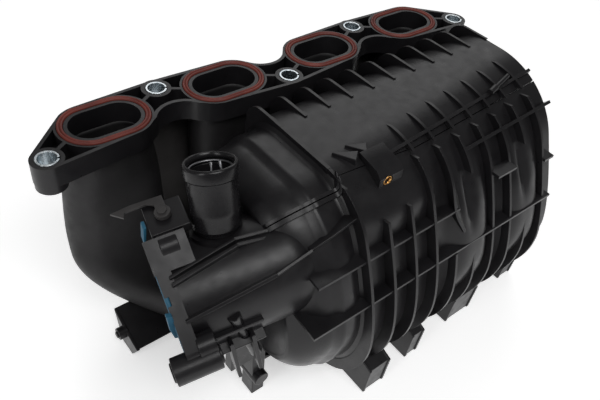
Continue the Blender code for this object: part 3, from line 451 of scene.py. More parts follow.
def build_flange():
    """A thin webbed plate: pockets between the collars, the bosses and their webs."""
    floor = -FLANGE_DEPTH + FLANGE_FLOOR
    pockets = mesh_object("pockets", prism(inset(flange_outline(), RIM), "Z", floor, 2))
    collars = [prism(stadium(port_x(i), 0, COLLAR_HALF_LENGTH, COLLAR_HALF_WIDTH, 20), "Z", floor - 2, 3)
               for i in range(PORT_COUNT)]
    carved(pockets, [merged(collars), merged(bolt_rods(BOSS_RADIUS, floor - 2, 3))] + boss_webs())
    mesh = pockets.data
    points = [tuple((v.co - ORIGIN) / MM) for v in mesh.vertices]
    pocket_part = (points, [list(f.vertices) for f in mesh.polygons])
    bpy.data.objects.remove(pockets)

    flange = mesh_object("head_flange_body", prism(flange_outline(), "Z", -FLANGE_DEPTH, 0))
    carved(flange, [merged(bolt_rods(BOSS_RADIUS - 0.4, -BOSS_DEPTH, -1))], "UNION")
    bores = [prism(stadium(port_x(i), 0, PORT_HALF_LENGTH, PORT_HALF_WIDTH, 20), "Z", -FLANGE_DEPTH - 6, 2)
             for i in range(PORT_COUNT)]
    holes = bolt_rods(LIMITER_RADIUS + 0.3, -BOSS_DEPTH - 2, 2)
    reach = SEAL_WIDTH / 2 + 0.3
    grooves = [hollow_loft(groove_wall(i, reach), groove_wall(i, -reach)) for i in range(PORT_COUNT)]
    carved(flange, [pocket_part, merged(bores), merged(holes), merged(grooves)])
    bevelled(flange, 0.45, 30)
    owned(flange, NYLON, ["head_flange"])


def build_seals():
    """Double-lipped seals: two round lips with a shallow groove between them, and two locating lugs."""
    half, low, top = SEAL_WIDTH / 2, -GROOVE_DEPTH + 0.3, SEAL_PROUD
    lip = 0.85
    section = [(-half, low), (half, low)] + arc(half - lip, top - lip, lip, 0, 150, 6)
    section += [(0.0, top - 0.75)] + arc(lip - half, top - lip, lip, 30, 180, 6)
    for i in range(PORT_COUNT):
        rings = []
        for side, height in section:
            path = stadium(port_x(i), 0, SEAL_HALF_LENGTH + side, SEAL_HALF_WIDTH + side, 28, 6)
            rings.append([(x, y, height) for x, y in path])
        parts = [loft(rings + [rings[0]], ends=False)]
        for dx in (-13.0, 7.0):
            x, y = port_x(i) + dx, SEAL_HALF_WIDTH + half - 0.2
            lug = [(x - 1.3, y - 0.8), (x + 1.3, y - 0.8), (x + 0.9, y + 0.45), (x - 0.9, y + 0.45)]
            parts.append(prism(lug, "Z", low + 0.5, top - 0.35))
        piece(f"port_seal_ring_{i + 1}", parts, SEAL, 0.15, [f"port_seal_{i + 1}"], 50)


def build_limiters():
    """Rolled steel sleeves with an open slit."""
    slit = math.degrees(0.8 / LIMITER_RADIUS)
    for i, (x, y) in enumerate(bolt_points()):
        outer = arc(x, y, LIMITER_RADIUS, slit - 25, 335 - slit, 56)
        inner = arc(x, y, LIMITER_RADIUS - LIMITER_WALL, 335 - slit, slit - 25, 56)
        sleeve = prism(outer + inner, "Z", -BOSS_DEPTH, 0.4)
        piece(f"steel_sleeve_{i + 1}", [sleeve], ZINC, 0.35, [f"limiter_{i + 1}"], 40)


# ------------ runners
def runner_steps(bend_steps=36, end_steps=8):
    """Places along a runner, down from the flange, round the bend and forward, each as its centre
    in YZ, the outward direction there and the share of the length passed."""
    places = [((0, -FLANGE_DEPTH - 0.3 - 2.8 * i), (1, 0)) for i in range(20)]
    for i in range(bend_steps + 1):
        angle = math.radians(-90 * i / bend_steps)
        out = (math.cos(angle), math.sin(angle))
        places.append(((-RUNNER_BEND + RUNNER_BEND * out[0], -RUNNER_DROP + RUNNER_BEND * out[1]), out))
    run = RUNNER_END_Y + 0.3 + RUNNER_BEND
    for i in range(1, end_steps + 1):
        places.append(((-RUNNER_BEND + run * i / end_steps, -RUNNER_DROP - RUNNER_BEND), (0, -1)))
    lengths = [0.0]
    for (a, _), (b, _) in zip(places, places[1:]):
        lengths.append(lengths[-1] + math.hypot(b[0] - a[0], b[1] - a[1]))
    return [(centre, out, length / lengths[-1]) for (centre, out), length in zip(places, lengths)]


def outward(x, centre, out, depth):
    """A point off a runner's middle line."""
    return (x, centre[0] + out[0] * depth, centre[1] + out[1] * depth)


def runner_span(index, t):
    """Where a runner's middle is along X at a share of its length, and its half length there."""
    slide = eased((t - RUNNER_TURNS[index]) / (1 - RUNNER_TURNS[index]))
    x = port_x(index) + (lobe_x(index) - port_x(index)) * slide
    swell = RUNNER_SWELL * math.sqrt(max(0.0, math.sin(math.pi * t))) * (1 - slide) if index == 0 else 0.0
    return x, PORT_HALF_LENGTH + swell


def runner_rings(index, grow):
    """The sections of a runner, grown by a wall thickness."""
    rings = []
    for centre, out, t in runner_steps():
        x, half_length = runner_span(index, t)
        outline = stadium(x, 0, half_length + grow, PORT_HALF_WIDTH + grow, 14, 8)
        rings.append([outward(u, centre, out, w) for u, w in outline])
    return rings


def runner_strip(index, offset, thick, low, high, first, last):
    """A strip that follows a runner's outside, from one share of its length to another."""
    rings = []
    corners = ((low, offset), (high, offset), (high, offset + thick), (low, offset + thick))
    for centre, out, t in runner_steps():
        if first <= t <= last:
            x = runner_span(index, t)[0]
            rings.append([outward(x + across, centre, out, depth) for across, depth in corners])
    return loft(rings)


def runner_web(index):
    """The thin wall that closes the gap between a runner and the next one."""
    rings, own, following = [], runner_rings(index, RUNNER_WALL), runner_rings(index + 1, RUNNER_WALL)
    for ring, neighbour, (centre, out, _) in list(zip(own[:-1], following, runner_steps()))[1:]:
        low, high = max(p[0] for p in ring), min(p[0] for p in neighbour) + 6.0
        corners = ((low - 4.0, 8.0), (high, 8.0), (high, 11.0), (low - 6.6, 11.0))
        rings.append([outward(x, centre, out, depth) for x, depth in corners])
    return loft(rings)


def runner_lug(x, half):
    """A rear foot under a runner."""
    outline = [(-47.0, FLOOR), (-33.0, FLOOR), (-24.0, -141.0), (-40.0, -149.0), (-56.0, -153.5)]
    return prism(outline, "X", x - half, x + half)


def build_runners():
    """The four runners, the webs between them, the rear feet and the ribs down their backs."""
    for i in range(PORT_COUNT):
        parts = [hollow_loft(runner_rings(i, RUNNER_WALL), runner_rings(i, 0.0))]
        piece(f"runner_shell_{i + 1}", parts, NYLON_MATT, 0.0, [f"runner_{i + 1}"])
        if i < PORT_COUNT - 1:
            # painted highlight: the web's paler colour stands in for the light falling on its wall
            piece(f"runner_web_{i + 1}", [runner_web(i)], NYLON_PALE_PAINTED_LIGHT, 0.0)
    for i, (x, half) in enumerate(((-127.0, 19.0), (118.0, 10.0))):
        parts = [runner_lug(x, half)]
        for side in (-1, 1):
            parts.append(moved(runner_lug(x + side * (half - 1.0), 1.2), lambda a, b, c: (a, b - 0.8, c)))
        if i == 0:
            stud = frame_at((-144.0, -38.0, -152.0), (-1, 0, 0))
            parts += [rod(4.5, 0.0, 7.0, 28, stud), rod(2.4, 6.0, 8.2, 20, stud)]
        piece(f"rear_lug_{i + 1}", parts, NYLON, 0.6)
    # three ribs down the back of each runner, the middle one longer
    outside = PORT_HALF_WIDTH + RUNNER_WALL - 0.5
    for i in range(PORT_COUNT):
        parts = [runner_strip(i, outside, 2.3, -1.1, 1.1, 0.10, 0.93)]
        for middle in (13.0, -13.0):
            parts.append(runner_strip(i, outside, 2.0, middle - 1.0, middle + 1.0, 0.14, 0.9))
        piece(f"runner_ribs_{i + 1}", parts, NYLON, 0.5)


# ------------ drum sections
def along_drum(x):
    """How far along the ribbed drum a place is, from 0 to 1."""
    return max(0.0, (x - DRUM_RIM) / (DRUM_FAR - DRUM_RIM))


def crest_z(x):
    """The height of the crest, which climbs to the far end."""
    return 2.0 + 7.0 * along_drum(x)


def near_inset(x):
    """The dome at the near end draws in like a quarter ellipse, a rounded step below the first rib."""
    t = max(0.0, (DRUM_NEAR + 26.0 - x) / 28.5)
    step = 5.0 * eased((DRUM_RIM + 0.5 - x) / 4.0) + 2.4 * eased((-60.0 - x) / 3.0)
    return step + 19.6 * (1 - math.sqrt(max(0.0, 1 - t * t)))


def seam_angle(x):
    """Where the weld seam meets the front corner's arc, in degrees."""
    near_dip = 10.0 * eased((DRUM_RIM + 0.8 - x) / 3.0)
    return 110.0 + near_dip + 10.0 * min(1.0, 3 * along_drum(x))


def lobe_bump(x, z):
    """How far the runner lobes stand out of the front wall; each is split by a notch at its top."""
    best = 0.0
    for i in range(PORT_COUNT):
        off = x - lobe_x(i)
        middle, half = (-2.0, 30.0) if i == 1 else (-58.0, 46.0)
        down = (z - middle) / half
        width = 30.0 - 12.0 * eased((-10.0 - z) / 40.0) if i == 1 else 18.0
        bulge = math.exp(-(off / width) ** 4) * math.exp(-down ** 4)
        if i > 1:
            bulge *= 1 - 0.6 * math.exp(-((off + 3.0) / 3.2) ** 2) * eased((z + 62.0) / 26.0)
        best = max(best, bulge)
    return (RIB_DEPTH + (0.3 if best > 0.2 else 0.0) * best) * best


def front_corner(x, recess, start, end, steps):
    """The rounded corner from the crest into the front wall."""
    radius = 46.0 + 20.0 * along_drum(x)
    centre_z = crest_z(x) - 0.5 * recess / RIB_DEPTH - radius
    return arc(FRONT_FLAT_Y + recess + radius, centre_z, radius, start, end, steps)


def upper_front(x, recess, shy):
    """From the crest to a few degrees short of the weld seam."""
    return front_corner(x, recess, 90, seam_angle(x) - shy, 16)


def lower_oval(recess, lift, angle):
    """A point on the oval from the front's widest line, at 0 degrees, down to the bottom, at 90."""
    centre_y, low_z = -118.0, FRONT_LOW_Z + 0.75 * recess + lift
    a = math.radians(angle)
    return (centre_y - (centre_y - FRONT_Y - recess) * math.cos(a), FRONT_Z - (FRONT_Z - low_z) * math.sin(a))


def lower_front(x, recess, shy):
    """From the weld seam over the bulging front and the lower corner to the runners' ends."""
    lift = 16.0 * max(0.0, (-30.0 - x) / (-30.0 - DRUM_NEAR)) ** 2
    lean = 25.0
    top = front_corner(x, recess, seam_angle(x) + shy, 180.0 - lean, 18)
    low = [lower_oval(recess, lift, 5 * i) for i in range(19)]
    start, end = top[-1], low[0]
    bend = (end[0], start[1] - (start[0] - end[0]) / math.tan(math.radians(lean)))
    wall = []
    for i in range(1, 20):
        t = i / 20
        share = ((1 - t) ** 2, 2 * t * (1 - t), t * t)
        wall.append(tuple(share[0] * start[k] + share[1] * bend[k] + share[2] * end[k] for k in (0, 1)))
    return top + wall + low + [(RUNNER_END_Y - 2.0, low[-1][1])]


def rear_outline(x):
    """The trough behind the crest, from the runners' bend up and over the hooks."""
    crest, hook = crest_z(x) - 0.5, 37.0
    rear = arc(-RUNNER_DROP, -RUNNER_DROP, RUNNER_BEND - 20.0, -95, 0, 20)
    over = arc(-25.0 - hook, crest - hook, hook, 0, 90, 20)
    return rear + over + [(-25.0 - hook - 4.0 * i, crest) for i in range(1, 3)]


def toward(points, distance):
    """Points of a section drawn in towards the drum's core."""
    result = []
    for y, z in points:
        dy, dz = CORE_CENTRE[0] - y, CORE_CENTRE[1] - z
        length = math.hypot(dy, dz)
        result.append((y + distance * dy / length, z + distance * dz / length))
    return result


def with_lobes(x, points):
    """A front section with the runner lobes swelling out of it."""
    return [(y - lobe_bump(x, z) * min(1.0, max(0.0, (-118 - y) / 24)), z) for y, z in points]


def upper_path(x):
    return rear_outline(x) + upper_front(x, RIB_DEPTH, 0.25)


def front_path(x):
    return with_lobes(x, lower_front(x, RIB_DEPTH, 0.25))


def drum_stations():
    """Places along X for the shells' sections, close together over the near dome."""
    near = [DRUM_NEAR + 26.0 * (1 - math.cos(math.radians(a))) for a in range(0, 91, 6)]
    rest, x = [], near[-1] + 1.6
    while x < DRUM_FAR - 0.8:
        rest.append(x)
        x += 1.2 if x < DRUM_RIM + 2 else 2.4
    return near + rest + [DRUM_FAR]


def clear_of_runners(points):
    """Keeps the low end of a section in front of the runners' ends."""
    return [(min(y, RUNNER_END_Y - 2.0) if z < -115.0 and -125.0 < y < -90.0 else y, z) for y, z in points]


def shell_wall(path_of):
    """A shell skinned over its sections, open at the seam."""
    rings = []
    for x in drum_stations():
        outer = clear_of_runners(toward(path_of(x), near_inset(x)))
        inner = clear_of_runners(toward(outer, SHELL_WALL))
        rings.append([(x, y, z) for y, z in outer + inner[::-1]])
    return loft(rings)


def end_walls(path_of, closing):
    """The plates that close a shell at its two ends."""
    walls = []
    for low, high in ((DRUM_FAR - SHELL_WALL, DRUM_FAR - 0.2), (DRUM_NEAR + 0.2, DRUM_NEAR + SHELL_WALL)):
        rings = []
        for x in (low, high):
            outline = clear_of_runners(toward(path_of(x), near_inset(x) + 1.3)) + closing
            rings.append([(x, y, z) for y, z in outline])
        walls.append(loft(rings))
    return walls


# ------------ ribs
def plate_at(outline, x, thick=RIB_THICK):
    """A plate across the drum."""
    return prism(outline, "X", x - thick / 2, x + thick / 2)


def crest_hoop(x):
    """A hoop rib from the crest to just above the seam."""
    outer = upper_front(x, 0.0, 4.0)
    inner = toward(upper_front(x, RIB_DEPTH, 4.0), 1.3)
    return plate_at(outer + inner[::-1], x)


# the heights between which each front hoop rib shows, as (top, low) spans
FRONT_HOOPS = (((99, -999),), ((-21, -999),), ((-18, -999),), ((99, -999),), ((99, -56), (-66, -999)),
               ((99, -22), (-66, -999)), ((99, -999),), ((99, -999),), ((99, -22), (-66, -999)), ((99, -999),))


def front_hoop(index, top, low):
    """A stretch of a front hoop between two heights; the fifth one leans towards the lobe beside it."""
    x = rib_x(index)
    outline = lower_front(x, 0.0, 1.5)
    kept = [i for i, p in enumerate(outline) if low <= p[1] <= top]
    inner = toward(lower_front(x, RIB_DEPTH, 1.5), 1.3)
    part = plate_at([outline[i] for i in kept] + [inner[i] for i in kept[::-1]], x)
    if index == 4 and top > 0:
        part = moved(part, lambda a, b, c: (a + 9.0 * eased((-36.0 - c) / 24.0), b, c))
    return part


def hook_rib(x):
    """A hook-shaped rib over the trough behind the crest."""
    crest = crest_z(x)
    outer = [(-25.6, -33.0)] + arc(-40.5, crest - 14.0, 14.0, 0, 90, 14) + [(-61.0, crest + 0.4)]
    inner = toward(arc(-62.0, crest - 37.5, 37.0, 7, 86, 16), 1.9)
    return plate_at(outer + inner[::-1], x)


def upright_strip(tip, height, angle):
    """A rib's section in YZ, standing out at an angle with its tip at a point."""
    out = (math.cos(math.radians(angle)), math.sin(math.radians(angle)))
    side = (-out[1] * RIB_THICK / 2, out[0] * RIB_THICK / 2)
    foot = (tip[0] - out[0] * height, tip[1] - out[1] * height)
    return [(tip[0] + side[0], tip[1] + side[1]), (tip[0] - side[0], tip[1] - side[1]),
            (foot[0] - side[0], foot[1] - side[1]), (foot[0] + side[0], foot[1] + side[1])]


def long_rib(tip, low, high):
    """A straight rib along the front wall."""
    return prism(upright_strip(tip, RIB_DEPTH + 1.0, 180), "X", low, high)


def corner_rib(angle, low, high, height):
    """A rib along the rounded front corner, which widens to the far end."""
    rings, steps = [], 14
    for i in range(steps + 1):
        x = low + (high - low) * i / steps
        tip = front_corner(x, 0.0, angle, angle + 1, 1)[0]
        rings.append([(x, y, z) for y, z in upright_strip(tip, height, angle)])
    return loft(rings)


def seam_root(x):
    """A point on the near end's shell along the seam."""
    return toward(upper_front(x, RIB_DEPTH, 0.0), near_inset(x))[-1]


def seam_bead(rise, thick, out):
    """One of the two flanges welded along the seam over the near end's dome."""
    rings = []
    for x in drum_stations():
        if x >= DRUM_RIM + 1.0:
            break
        root_y, root_z = seam_root(x)
        away = Vector((root_y - CORE_CENTRE[0], root_z - CORE_CENTRE[1])).normalized()
        side = Vector((-away.y, away.x))
        ring = []
        for lift, along in ((-1.4, rise), (out, rise), (out, rise + thick), (-1.4, rise + thick)):
            ring.append((x, root_y + away.x * lift - side.x * along,
                         root_z + away.y * lift - side.y * along))
        rings.append(ring)
    return loft(rings)


def build_upper_shell():
    """The crest, its ribs, the sensor's block and the pin beside it."""
    walls = [shell_wall(upper_path)] + end_walls(upper_path, [])
    piece("crest_shell", walls, NYLON, 0.3, ["upper_shell"])
    ribs = [crest_hoop(rib_x(i)) for i in range(RIB_COUNT - 1) if i not in (1, 2)]
    ribs += [hook_rib(rib_x(i)) for i in range(RIB_COUNT)]
    top, low = crest_z(rib_x(0)) + 0.4, crest_z(rib_x(0)) - 9.0
    ribs.append(plate_at([(-50.0, top), (-106.0, top - 0.3), (-106.0, low), (-50.0, low)], rib_x(0), 2.7))
    ribs.append(corner_rib(107, rib_x(2) + 4, DRUM_FAR - 0.4, 4.5))
    ribs.append(seam_bead(0.3, 2.0, 4.0))
    piece("crest_ribs", ribs, NYLON, 0.55)
    gussets = [prism([(-32.0, -97.0), (-24.0, -110.0), (-17.0, -104.0)], "Z", -1.0, 3.6),
               prism([(-21.0, -96.0), (-13.0, -107.5), (-8.0, -101.0)], "Z", -1.0, 3.9)]
    piece("seam_gussets", gussets, NYLON, 0.4)
    outline = [(-105, -6), (-106, 4), (-122, 1), (-126, -3), (-126, -15), (-112, -15)]
    block = carved(mesh_object("sensor_block", prism(outline, "X", -18.0, 1.0)),
                   [rod(INSERT_HOLE, 0.0, 12.5, 28, frame_at(*PAD_FRAME))])
    owned(bevelled(block, 0.6), NYLON)
    start, end = Vector((104.0, -106.0, 5.5)), Vector((127.0, -101.0, 8.0))
    matrix = frame_at(start, end - start)
    peg = [rod(1.6, 0.0, (end - start).length, 20, matrix), rod(2.4, -2.0, 6.0, 20, matrix)]
    piece("locating_pin", peg, NYLON, 0.4)


def foot_outline(front):
    """A foot's outline in YZ: flat below, its root in the shell."""
    root_edge = [lower_oval(RIB_DEPTH + SHELL_WALL / 2, 0.3, angle) for angle in (75, 57, 40)]
    return [(front, FLOOR), (-136.0, FLOOR)] + root_edge + [(front - 1.0, -142.0)]


def build_feet():
    """Four front feet with rims along both sides, and the leg at the near end."""
    feet = ((-20.0, 10.0, -165.0), (22.0, 6.5, -161.5), (80.0, 14.0, -157.0), (146.0, 8.0, -152.0))
    for i, (x, half, front) in enumerate(feet):
        outline = foot_outline(front)
        parts = [prism(outline, "X", x - half + 0.6, x + half - 0.6)]
        rim = [(y - 0.9, z) if y < -140 else (y, z) for y, z in outline]
        for side in (-1, 1):
            middle = x + side * (half - 1.1)
            parts.append(prism(rim, "X", middle - 1.1, middle + 1.1))
        piece(f"front_foot_{i + 1}", parts, NYLON, 0.6)
    leg = [(-122.0, FLOOR), (-109.2, FLOOR), (-109.2, -100.0), (-118.0, -96.0)]
    plate = [(-119.5, -128.0), (-112.0, -128.0), (-112.0, -98.0), (-119.5, -98.0)]
    button = frame_at((DRUM_NEAR - 3.0, -117.0, -150.0), (0, -1, 0))
    parts = [prism(leg, "X", DRUM_NEAR - 8.0, DRUM_NEAR + 2.0), rod(5.6, -12.0, 8.0, 32, button),
             prism(plate, "X", -112.0, -86.0)]
    piece("near_leg", parts, NYLON, 0.7)


def build_front_shell():
    """The front with its ribs and feet, and the wall that the runners meet."""
    closing = [(RUNNER_END_Y, -106.0), (-77.0, -121.0)]
    near, far, front, rear = DRUM_NEAR + 1, DRUM_FAR - 1, RUNNER_END_Y - SHELL_WALL, RUNNER_END_Y - 0.3
    wall = prism([(near, front), (far, front), (far, rear), (near, rear)], "Z", -155.0, -105.2)
    shell = mesh_object("front_wall", merged([shell_wall(front_path)] + end_walls(front_path, closing)))
    owned(bevelled(shell, 0.3), NYLON, ["front_shell"])
    back = mesh_object("runner_wall", wall)
    holes = [prism(stadium(lobe_x(i), -140.0, PORT_HALF_LENGTH, PORT_HALF_WIDTH), "Y",
                   RUNNER_END_Y - 6, RUNNER_END_Y + 2) for i in range(PORT_COUNT)]
    owned(bevelled(carved(back, [merged(holes)]), 0.4), NYLON_MATT)

    ribs = [front_hoop(i, top, low) for i, spans in enumerate(FRONT_HOOPS) for top, low in spans]
    # the upper long rib stops at the third lobe, shows higher up between two lobes, then runs on
    ribs += [long_rib(UPPER_LINE, DRUM_RIM - 1, lobe_x(2) - 15),
             long_rib((FRONT_FLAT_Y, -27.0), rib_x(6), rib_x(7)),
             long_rib(UPPER_LINE, rib_x(9), DRUM_FAR - 9.0),
             long_rib(LOWER_LINE, DRUM_RIM - 1, DRUM_FAR - 12.0),
             corner_rib(131, rib_x(5), DRUM_FAR - 0.4, 8.0), seam_bead(-3.0, 2.7, 4.0)]
    # both lines go on over the near dome as flat fins
    for (front, z), near in ((UPPER_LINE, -78.0), (LOWER_LINE, -86.0)):
        fin = [(DRUM_RIM, front), (near, front), (near + 3.0, front + 34.0), (DRUM_RIM, front + 12.0)]
        ribs.append(prism(fin, "Z", z - 1.1, z + 1.1))
    piece("front_ribs", ribs, NYLON, 0.6)
    rings = []
    for x, y, z in ((-72.0, -133.0, -26.0), (-56.0, -134.2, -20.6), (DRUM_RIM, -134.5, -16.0)):
        rings.append([(x, y, z), (x, y, z + 2.4), (x, y + 11.0, z - 0.6), (x, y + 11.0, z - 3.0)])
    piece("cheek_rib", [loft(rings)], NYLON, 0.5)
    build_feet()


# ------------ throttle duct and its fittings
def duct_matrix():
    """The duct's frame, its Z along the bore, in from the throttle face."""
    return frame_at(DUCT_START, DUCT_AXIS)


def throttle_matrix():
    """The throttle flange's frame, turned about the bore."""
    return duct_matrix() @ Matrix.Rotation(math.radians(THROTTLE_TURN), 4, "Z")


def duct_body(radius, start, straight, end):
    """A straight tube's solid with a domed inner end."""
    steps, segments = 18, 96
    profile = [(start + (straight - start) * i / 12, radius) for i in range(13)]
    for i in range(1, steps + 1):
        a = math.radians(78.0 * i / steps)
        profile.append((straight + end * math.sin(a), radius * math.cos(a)))
    rings = []
    for height, r in profile:
        ring = arc(0, 0, r, 0, 360 - 360 / segments, segments - 1)
        rings.append([tuple(duct_matrix() @ Vector((x, y, height))) for x, y in ring])
    return loft(rings)


def rounded_square(half, radius):
    """A square's outline with rounded corners."""
    points = []
    for quarter, (cx, cy) in enumerate(((1, 1), (-1, 1), (-1, -1), (1, -1))):
        middle = half - radius
        points += arc(cx * middle, cy * middle, radius, 90 * quarter, 90 * quarter + 90, 8)
    return points


def screw_frames():
    """A frame on each of the throttle's screws."""
    return [throttle_matrix() @ Matrix.Translation((x, y, 0))
            for x in (-THROTTLE_BOLT, THROTTLE_BOLT) for y in (-THROTTLE_BOLT, THROTTLE_BOLT)]


def duct_rib(angle, turn, rise, thick, end=46.0):
    """A rib along the duct from the throttle plate, turning on its way."""
    rings, start, steps = [], 6.0, 14
    for i in range(steps + 1):
        share = i / steps
        a = math.radians(angle + turn * share)
        out = (math.cos(a), math.sin(a))
        side = (-out[1] * thick / 2, out[0] * thick / 2)
        ring, low, high = [], DUCT_RADIUS - 2.0, DUCT_RADIUS + rise
        for r, sign in ((low, -1), (high, -1), (high, 1), (low, 1)):
            x, y = out[0] * r + sign * side[0], out[1] * r + sign * side[1]
            ring.append((x, y, start + (end - start) * share))
        rings.append([tuple(duct_matrix() @ Vector(p)) for p in ring])
    return loft(rings)


def bridge(start, end):
    """A straight rib between two points, reaching down into the surfaces below it."""
    down = Vector((0.0, 0.5, -0.87))
    side, depth = (end - start).cross(down).normalized() * (RIB_THICK / 2), down * 11.0
    return loft([[tuple(p - side), tuple(p + side), tuple(p + side + depth), tuple(p - side + depth)]
                 for p in (start, end)])


def on_duct(angle, rise, along):
    """A point above the duct's surface."""
    a = math.radians(angle)
    r = DUCT_RADIUS + rise
    return duct_matrix() @ Vector((math.cos(a) * r, math.sin(a) * r, along))


def build_duct():
    """The duct with its throttle plate, and the bosses, ribs and bracket round it."""
    frame_of, face = duct_matrix(), throttle_matrix()
    stub = frame_at(STUB_BASE, STUB_AXIS)
    duct = mesh_object("throttle_duct_body", duct_body(DUCT_RADIUS, 0.5, DUCT_STRAIGHT, DUCT_END))
    seat = rod(16.0, -14.0, -0.3, 48, stub)
    corner = placed(prism([(15.0, 19.0), (34.0, 19.0), (34.0, 34.0), (15.0, 34.0)], "Z", -1.0, 22.0), face)
    plate = placed(prism(rounded_square(THROTTLE_HALF, 5.0), "Z", 0.0, THROTTLE_PLATE), face)
    carved(duct, [seat, plate, corner], "UNION")
    way_in = frame_at(frame_of @ Vector((0, 0, DUCT_STRAIGHT - 4.0)), (0, 1, 0))
    holes = [placed(rod(INSERT_HOLE, -2.0, THROTTLE_PLATE + 3.0, 28), screw) for screw in screw_frames()]
    groove = turned([(30.3, -2.0), (34.1, -2.0), (34.1, 2.4), (30.3, 2.4)], 96, frame_of)
    bore = duct_body(DUCT_BORE, -12.0, DUCT_STRAIGHT, DUCT_END - 4.5)
    carved(duct, [bore, rod(22.0, 4.0, 60.0, 48, way_in), rod(STUB_BORE, -22.0, 3.0, 40, stub),
                  merged(holes), groove])
    owned(bevelled(duct, 0.5, 34), NYLON, ["throttle_duct"])

    foot, tip = THROTTLE_PLATE - 1, THROTTLE_PLATE + 9.0
    profile = [(INSERT_HOLE, foot), (7.5, foot), (7.5, tip), (INSERT_HOLE, tip)]
    bosses = [turned(profile, 40, screw) for screw in screw_frames()]
    piece("screw_bosses", bosses, NYLON, 0.5)
    bracket = prism([(10.0, 40.0), (33.0, 40.0), (33.0, 46.0), (10.0, 46.0)], "Z", 5.0, 27.0)
    bracket = mesh_object("clip_bracket", placed(bracket, frame_of))
    carved(bracket, [placed(prism(disc(*CLIP_PIN, 2.6), "Y", 36.0, 50.0), frame_of)])
    owned(bevelled(bracket, 0.7), NYLON)
    boss = [placed(prism(disc(-44.0, -1.0, radius), "Z", low, high), frame_of)
            for radius, low, high in ((8.0, -9.0, 17.0), (5.6, -10.0, 18.4))]
    piece("front_boss", boss, NYLON, 0.6)
    ribs = [duct_rib(109.0, -12.0, 4.0, 2.0), duct_rib(115.4, -12.4, 4.0, 2.2),
            duct_rib(148.0, -9.0, 4.0, 2.4, end=60.0), duct_rib(205.0, 0.0, 6.0, 2.6),
            duct_rib(178.0, 0.0, 3.0, 2.2), duct_rib(232.0, 0.0, 8.0, 2.6)]
    near = DRUM_NEAR + 0.5
    root_y, root_z = seam_root(near)
    seam_end = Vector((near, root_y - 3.4, root_z + 2.4))
    ribs += [bridge(on_duct(97.0, 3.8, 45.0), seam_end),
             bridge(on_duct(103.0, 3.8, 45.0), seam_end + Vector((0, -2.4, -3.0))),
             bridge(on_duct(139.0, 3.8, 59.0), Vector((-71.0, -133.0, -23.8)))]
    piece("duct_ribs", ribs, NYLON, 0.55)
    # plates and a round bar under the duct, behind its flange
    outline = [(-38.0, -8.0), (-30.0, -8.0), (-26.0, -42.0), (-40.0, -42.0)]
    under = [placed(prism(outline, "Z", along, along + 2.4), frame_of) for along in (24.0, 37.0)]
    piece("under_ribs", under, NYLON, 0.5)
    low, high = Vector((-102.5, -130.0, -98.0)), Vector((-121.5, -130.5, -48.0))
    bar = rod(4.0, 0.0, (high - low).length, 32, frame_at(low, high - low))
    piece("under_bar", [bar], NYLON_GLOSS, 0.6)


def build_throttle_fittings():
    """The blue seal with the lips that show, and the brass inserts."""
    frame_of = duct_matrix()
    section = [(30.6, 0.4), (30.6, 2.1), (33.8, 2.1), (33.8, 0.4), (33.4, -0.3), (32.6, -0.5), (31.8, -0.5),
               (31.0, -0.3)]
    piece("throttle_ring", [turned(section, 96, frame_of)], BLUE, 0.0, ["throttle_seal"])
    front_lip = [(27.0, -2.6), (25.5, 0.5), (5.0, 0.5), (6.0, -2.2), (15.0, -3.2)]
    top_lip = [(34.0, -0.2), (34.0, 1.6), (45.0, 4.2), (45.0, 2.2)]
    lips = [placed(prism(front_lip, "X", -29.0, -26.0), frame_of),
            placed(prism(top_lip, "X", 18.0, 24.0), frame_of)]
    piece("throttle_ring_lips", lips, BLUE, 0.5)
    for i, screw in enumerate(screw_frames()):
        sleeve = turned([(2.2, 0.6), (2.6, 0.2), (3.6, 0.2), (3.6, 10.5), (2.2, 10.5)], 32, screw)
        piece(f"screw_insert_{i + 1}", [sleeve], BRASS, 0.15, [f"throttle_insert_{i + 1}"])
    profile = [(2.2, 0.5), (3.6, 0.5), (3.6, 9.2), (3.2, 9.8), (2.7, 9.8), (2.2, 9.2)]
    piece("pad_insert", [turned(profile, 32, frame_at(*PAD_FRAME))], BRASS, 0.1, ["sensor_insert"])


def build_harness_clip():
    """The arrow-shaped clip on its pin."""
    matrix = duct_matrix()
    parts = [placed(prism(disc(*CLIP_PIN, radius), "Y", low, high), matrix)
             for radius, low, high in ((2.2, 37.0, 49.0), (4.6, 46.4, 49.4), (2.6, 49.0, 50.6))]
    arrow = [(20.0, 12.0), (20.0, 18.0), (34.6, 18.0), (35.0, 0.0), (33.6, -11.6), (27.2, -5.3), (31.0, -4.2),
             (31.6, 8.0), (29.0, 12.0)]
    parts.append(placed(prism(arrow, "Y", 47.2, 48.8), matrix))
    piece("arrow_clip", parts, NYLON_PALE_PAINTED_LIGHT, 0.35, ["harness_clip"])


